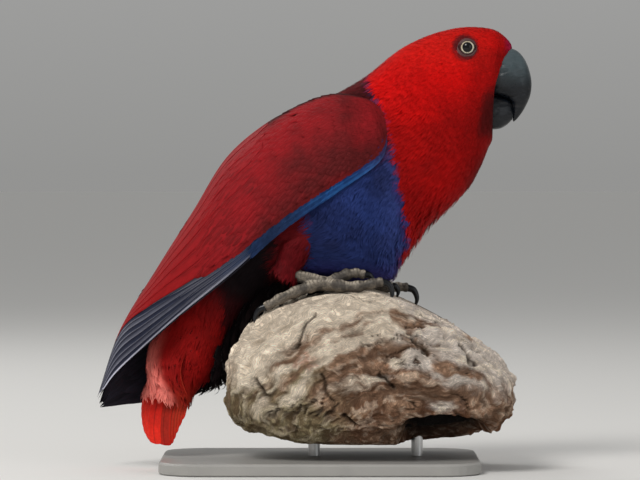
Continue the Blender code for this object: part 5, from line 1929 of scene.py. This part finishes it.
# place, size and colour
LIGHTS = {"key": ((-0.9, -1.5, 1.9), 1.0, (1.0, 0.98, 0.95)),
          "fill": ((1.8, -1.6, 0.7), 1.6, (0.95, 0.97, 1.0)),
          "rim": ((-1.1, 1.3, 1.5), 0.9, (1.0, 0.99, 0.97))}
HORIZON, SKY, SKY_STRENGTH = (0.655, 0.653, 0.64, 1), (0.84, 0.84, 0.83, 1), 0.45


def soft_light(name, power):
    """A square area light that faces the lights' target."""
    place, size, colour = LIGHTS[name]
    data = bpy.data.lights.new(name, "AREA")
    data.shape, data.size, data.energy, data.color = "SQUARE", size, power, colour
    light = bpy.data.objects.new(name, data)
    bpy.context.scene.collection.objects.link(light)
    aim = Vector(LIGHT_TARGET) - Vector(place)
    light.location = place
    light.rotation_euler = aim.to_track_quat("-Z", "Y").to_euler()
    return light


def stage_floor(colour):
    """A wide pale floor just under the stand."""
    corners = [(x * FLOOR_HALF, y * FLOOR_HALF, FLOOR_LEVEL) for x, y in ((-1, -1), (1, -1), (1, 1), (-1, 1))]
    finish, _bench, shader = new_finish("stage_floor", Roughness=0.9, Specular_IOR_Level=0.1)
    shader.inputs["Base Color"].default_value = (*colour, 1)
    mesh = new_mesh("floor", corners, [np.array([[0, 1, 2, 3]])], finish)
    floor = bpy.data.objects.new("floor", mesh)
    bpy.context.scene.collection.objects.link(floor)
    return floor


def surroundings():
    """Pale surroundings, a little darker at the horizon."""
    world = bpy.data.worlds.new("studio")
    world.use_nodes = True
    ground = next(n for n in world.node_tree.nodes if n.type == "BACKGROUND")
    bench = Bench(world.node_tree)
    direction = bench.node("ShaderNodeTexCoord").outputs["Generated"]
    height = bench.node("ShaderNodeSeparateXYZ", {0: direction}).outputs[2]
    bench.tree.links.new(bench.blend(bench.spread(height, 0.0, 0.09), HORIZON, SKY), ground.inputs["Color"])
    ground.inputs["Strength"].default_value = SKY_STRENGTH
    bpy.context.scene.world = world


def stage_camera(view_width):
    """The camera on the bird's right side, its picture view_width wide at the bird."""
    lens = bpy.data.cameras.new("camera")
    lens.sensor_width = SENSOR
    lens.lens = SENSOR * VIEW_AWAY / view_width
    lens.clip_start, lens.clip_end = 0.05, 200.0
    camera = bpy.data.objects.new("camera", lens)
    bpy.context.scene.collection.objects.link(camera)
    back = Vector((0.0, -math.cos(VIEW_RISE), math.sin(VIEW_RISE)))
    camera.location = Vector(VIEW_MIDDLE) + back * VIEW_AWAY
    camera.rotation_euler = (-back).to_track_quat("-Z", "Y").to_euler()
    bpy.context.scene.camera = camera
    bpy.context.scene.view_settings.view_transform = "Standard"
    return camera


def build_stage():
    """Pale floor, pale surroundings, three soft lights and the camera."""
    looks = bpy.context.scene.parrot_stage
    made = [stage_floor(looks.floor_colour)]
    surroundings()
    made += [soft_light("key", looks.key_power), soft_light("fill", looks.fill_power),
             soft_light("rim", looks.rim_power), stage_camera(looks.view_width)]
    return made


# --- Add-on -----------------------------------------------------------------------------------------------
def paint(title, about, colour):
    """A property for a colour."""
    return FloatVectorProperty(name=title, description=about, default=tuple(colour), min=0.0, max=1.0, size=3,
                               subtype="COLOR")


class PlumageLooks(bpy.types.PropertyGroup):
    """Main colours of the plumage, and the length of its feathers."""

    red: paint("Red", "Head, neck and breast", RED)
    maroon: paint("Maroon", "Back and wing coverts", MAROON)
    belly_blue: paint("Belly blue", "Belly and flanks", BELLY)
    edge_blue: paint("Edge blue", "Lower edge of the folded wing", EDGE_BLUE)
    slate: paint("Slate", "Flight feathers", SLATE)
    tail_red: paint("Tail red", "Tail and its coverts", TAIL_RED)
    tail_tip: paint("Tail tip", "Ends of the tail feathers", TAIL_TIP)
    length_share: FloatProperty(
        name="Feather length", description="Length of the body's feathers as a share of the usual",
        default=1.0, min=0.5, max=1.5, subtype="FACTOR")


class BareLooks(bpy.types.PropertyGroup):
    """Colours of the bill, claws, eyes, lids and feet, and how finely the skin is made."""

    horn: paint("Horn", "Bill and claws", HORN)
    iris: paint("Iris", "Ring round the pupil", CREAM)
    lid_grey: paint("Lids", "Bare ring round the eye", LID_GREY)
    foot_grey: paint("Feet", "Skin of the feet", FOOT_GREY)
    eye_ring: FloatProperty(
        name="Eye ring", description="Radius that the face's feathers leave free round each eye",
        default=0.0063, min=0.0, max=0.012, precision=4, unit="LENGTH")
    skin_detail: FloatProperty(
        name="Skin detail", description="Size of the faces of the body's skin", default=0.00165, min=0.001,
        max=0.01, precision=5, unit="LENGTH")
    foot_detail: FloatProperty(
        name="Foot detail", description="Size of the faces of the feet's skin", default=0.000575, min=0.0004,
        max=0.01, precision=6, unit="LENGTH")


class PerchLooks(bpy.types.PropertyGroup):
    """Colours of the limb and the depth of its rot hole."""

    bark_pale: paint("Pale bark", "Weathered top of the limb", BARK_PALE)
    bark_brown: paint("Brown bark", "Sheltered bark low on the limb", BARK_BROWN)
    wood: paint("Wood", "Sawn face", WOOD)
    hollow_depth: FloatProperty(
        name="Hollow depth", description="Depth of the rot hole", default=0.013, min=0.0, max=0.03,
        precision=4, unit="LENGTH")


class StageLooks(bpy.types.PropertyGroup):
    """Settings of the stage."""

    view_width: FloatProperty(
        name="View width", description="Width of the picture at the bird", default=0.4352, min=0.1,
        precision=4, unit="LENGTH")
    key_power: FloatProperty(
        name="Key light", description="Power of the main soft light", default=36.0, min=0.0, unit="POWER")
    fill_power: FloatProperty(
        name="Fill light", description="Power of the soft light ahead of the bird", default=7.0, min=0.0,
        unit="POWER")
    rim_power: FloatProperty(
        name="Rim light", description="Power of the soft light behind the bird", default=10.0, min=0.0,
        unit="POWER")
    floor_colour: paint("Floor colour", "Colour of the floor", (0.78, 0.775, 0.76))


def ended(step, made):
    """Ends a step, or raises an error if it made nothing."""
    if not made:
        raise RuntimeError(f"{step.bl_label} made nothing")
    return {"FINISHED"}


class BuildSkin(bpy.types.Operator):
    """One skin over the head, body, wings, legs and feet."""

    bl_idname = "parrot.skin"
    bl_label = "Skin"

    def execute(self, context):
        return ended(self, build_skin())


class BuildBill(bpy.types.Operator):
    """Upper and lower bill of horn."""

    bl_idname = "parrot.bill"
    bl_label = "Bill"

    def execute(self, context):
        return ended(self, build_bill())


class BuildClaws(bpy.types.Operator):
    """Four claws on each foot."""

    bl_idname = "parrot.claws"
    bl_label = "Claws"

    def execute(self, context):
        return ended(self, build_claws())


class BuildEyes(bpy.types.Operator):
    """Eyeballs with a pale iris."""

    bl_idname = "parrot.eyes"
    bl_label = "Eyes"

    def execute(self, context):
        return ended(self, build_eyes())


class BuildBodyCoat(bpy.types.Operator):
    """Feathers of the head, breast, belly, back and rump."""

    bl_idname = "parrot.body_coat"
    bl_label = "Body feathers"

    def execute(self, context):
        return ended(self, build_body_coat())


class BuildThighCoat(bpy.types.Operator):
    """Feathers of the thighs."""

    bl_idname = "parrot.thigh_coat"
    bl_label = "Thigh feathers"

    def execute(self, context):
        return ended(self, build_thigh_coat())


class BuildWingCoats(bpy.types.Operator):
    """Coverts, blue edge and lining of the wings."""

    bl_idname = "parrot.wing_coats"
    bl_label = "Wing coverts"

    def execute(self, context):
        return ended(self, build_wing_coats())


class BuildFlightFeathers(bpy.types.Operator):
    """Primaries and secondaries of the wings."""

    bl_idname = "parrot.flight_feathers"
    bl_label = "Flight feathers"

    def execute(self, context):
        return ended(self, build_flight_feathers())


class BuildTail(bpy.types.Operator):
    """Tail feathers."""

    bl_idname = "parrot.tail"
    bl_label = "Tail feathers"

    def execute(self, context):
        return ended(self, build_tail())


class BuildPerch(bpy.types.Operator):
    """The cut length of limb with its bark."""

    bl_idname = "parrot.perch"
    bl_label = "Perch"

    def execute(self, context):
        return ended(self, build_perch())


class BuildStand(bpy.types.Operator):
    """Paint and steel for the display stand."""

    bl_idname = "parrot.stand"
    bl_label = "Stand"

    def execute(self, context):
        return ended(self, build_stand())


class BuildStage(bpy.types.Operator):
    """Floor, lights and camera."""

    bl_idname = "parrot.stage"
    bl_label = "Stage"

    def execute(self, context):
        return ended(self, build_stage())


GROUPS = {"parrot_plumage": PlumageLooks, "parrot_bare": BareLooks, "parrot_perch": PerchLooks,
          "parrot_stage": StageLooks}
STEPS = (BuildSkin, BuildBill, BuildClaws, BuildEyes, BuildBodyCoat, BuildThighCoat, BuildWingCoats,
         BuildFlightFeathers, BuildTail, BuildPerch, BuildStand, BuildStage)


class ParrotPanel(bpy.types.Panel):
    """Settings and steps of the parrot's build."""

    bl_idname = "VIEW3D_PT_parrot"
    bl_label = "Eclectus parrot"
    bl_space_type = "VIEW_3D"
    bl_region_type = "UI"
    bl_category = "Parrot"

    def draw(self, context):
        for title, group in GROUPS.items():
            for setting in group.__annotations__:
                self.layout.prop(getattr(context.scene, title), setting)
        for step in STEPS:
            self.layout.operator(step.bl_idname)


CLASSES = (*GROUPS.values(), *STEPS, ParrotPanel)


def register():
    """Registers the classes and hangs each group of settings on the scene."""
    for each in CLASSES:
        bpy.utils.register_class(each)
    for title, group in GROUPS.items():
        setattr(bpy.types.Scene, title, PointerProperty(type=group))


def unregister():
    """Takes the settings and the classes away again."""
    for title in GROUPS:
        delattr(bpy.types.Scene, title)
    for each in reversed(CLASSES):
        bpy.utils.unregister_class(each)


def main():
    """Registers the add-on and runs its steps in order."""
    register()
    bpy.ops.parrot.skin()
    bpy.ops.parrot.bill()
    bpy.ops.parrot.claws()
    bpy.ops.parrot.eyes()
    bpy.ops.parrot.body_coat()
    bpy.ops.parrot.thigh_coat()
    bpy.ops.parrot.wing_coats()
    bpy.ops.parrot.flight_feathers()
    bpy.ops.parrot.tail()
    bpy.ops.parrot.perch()
    bpy.ops.parrot.stand()
    bpy.ops.parrot.stage()


if __name__ == "__main__":
    main()
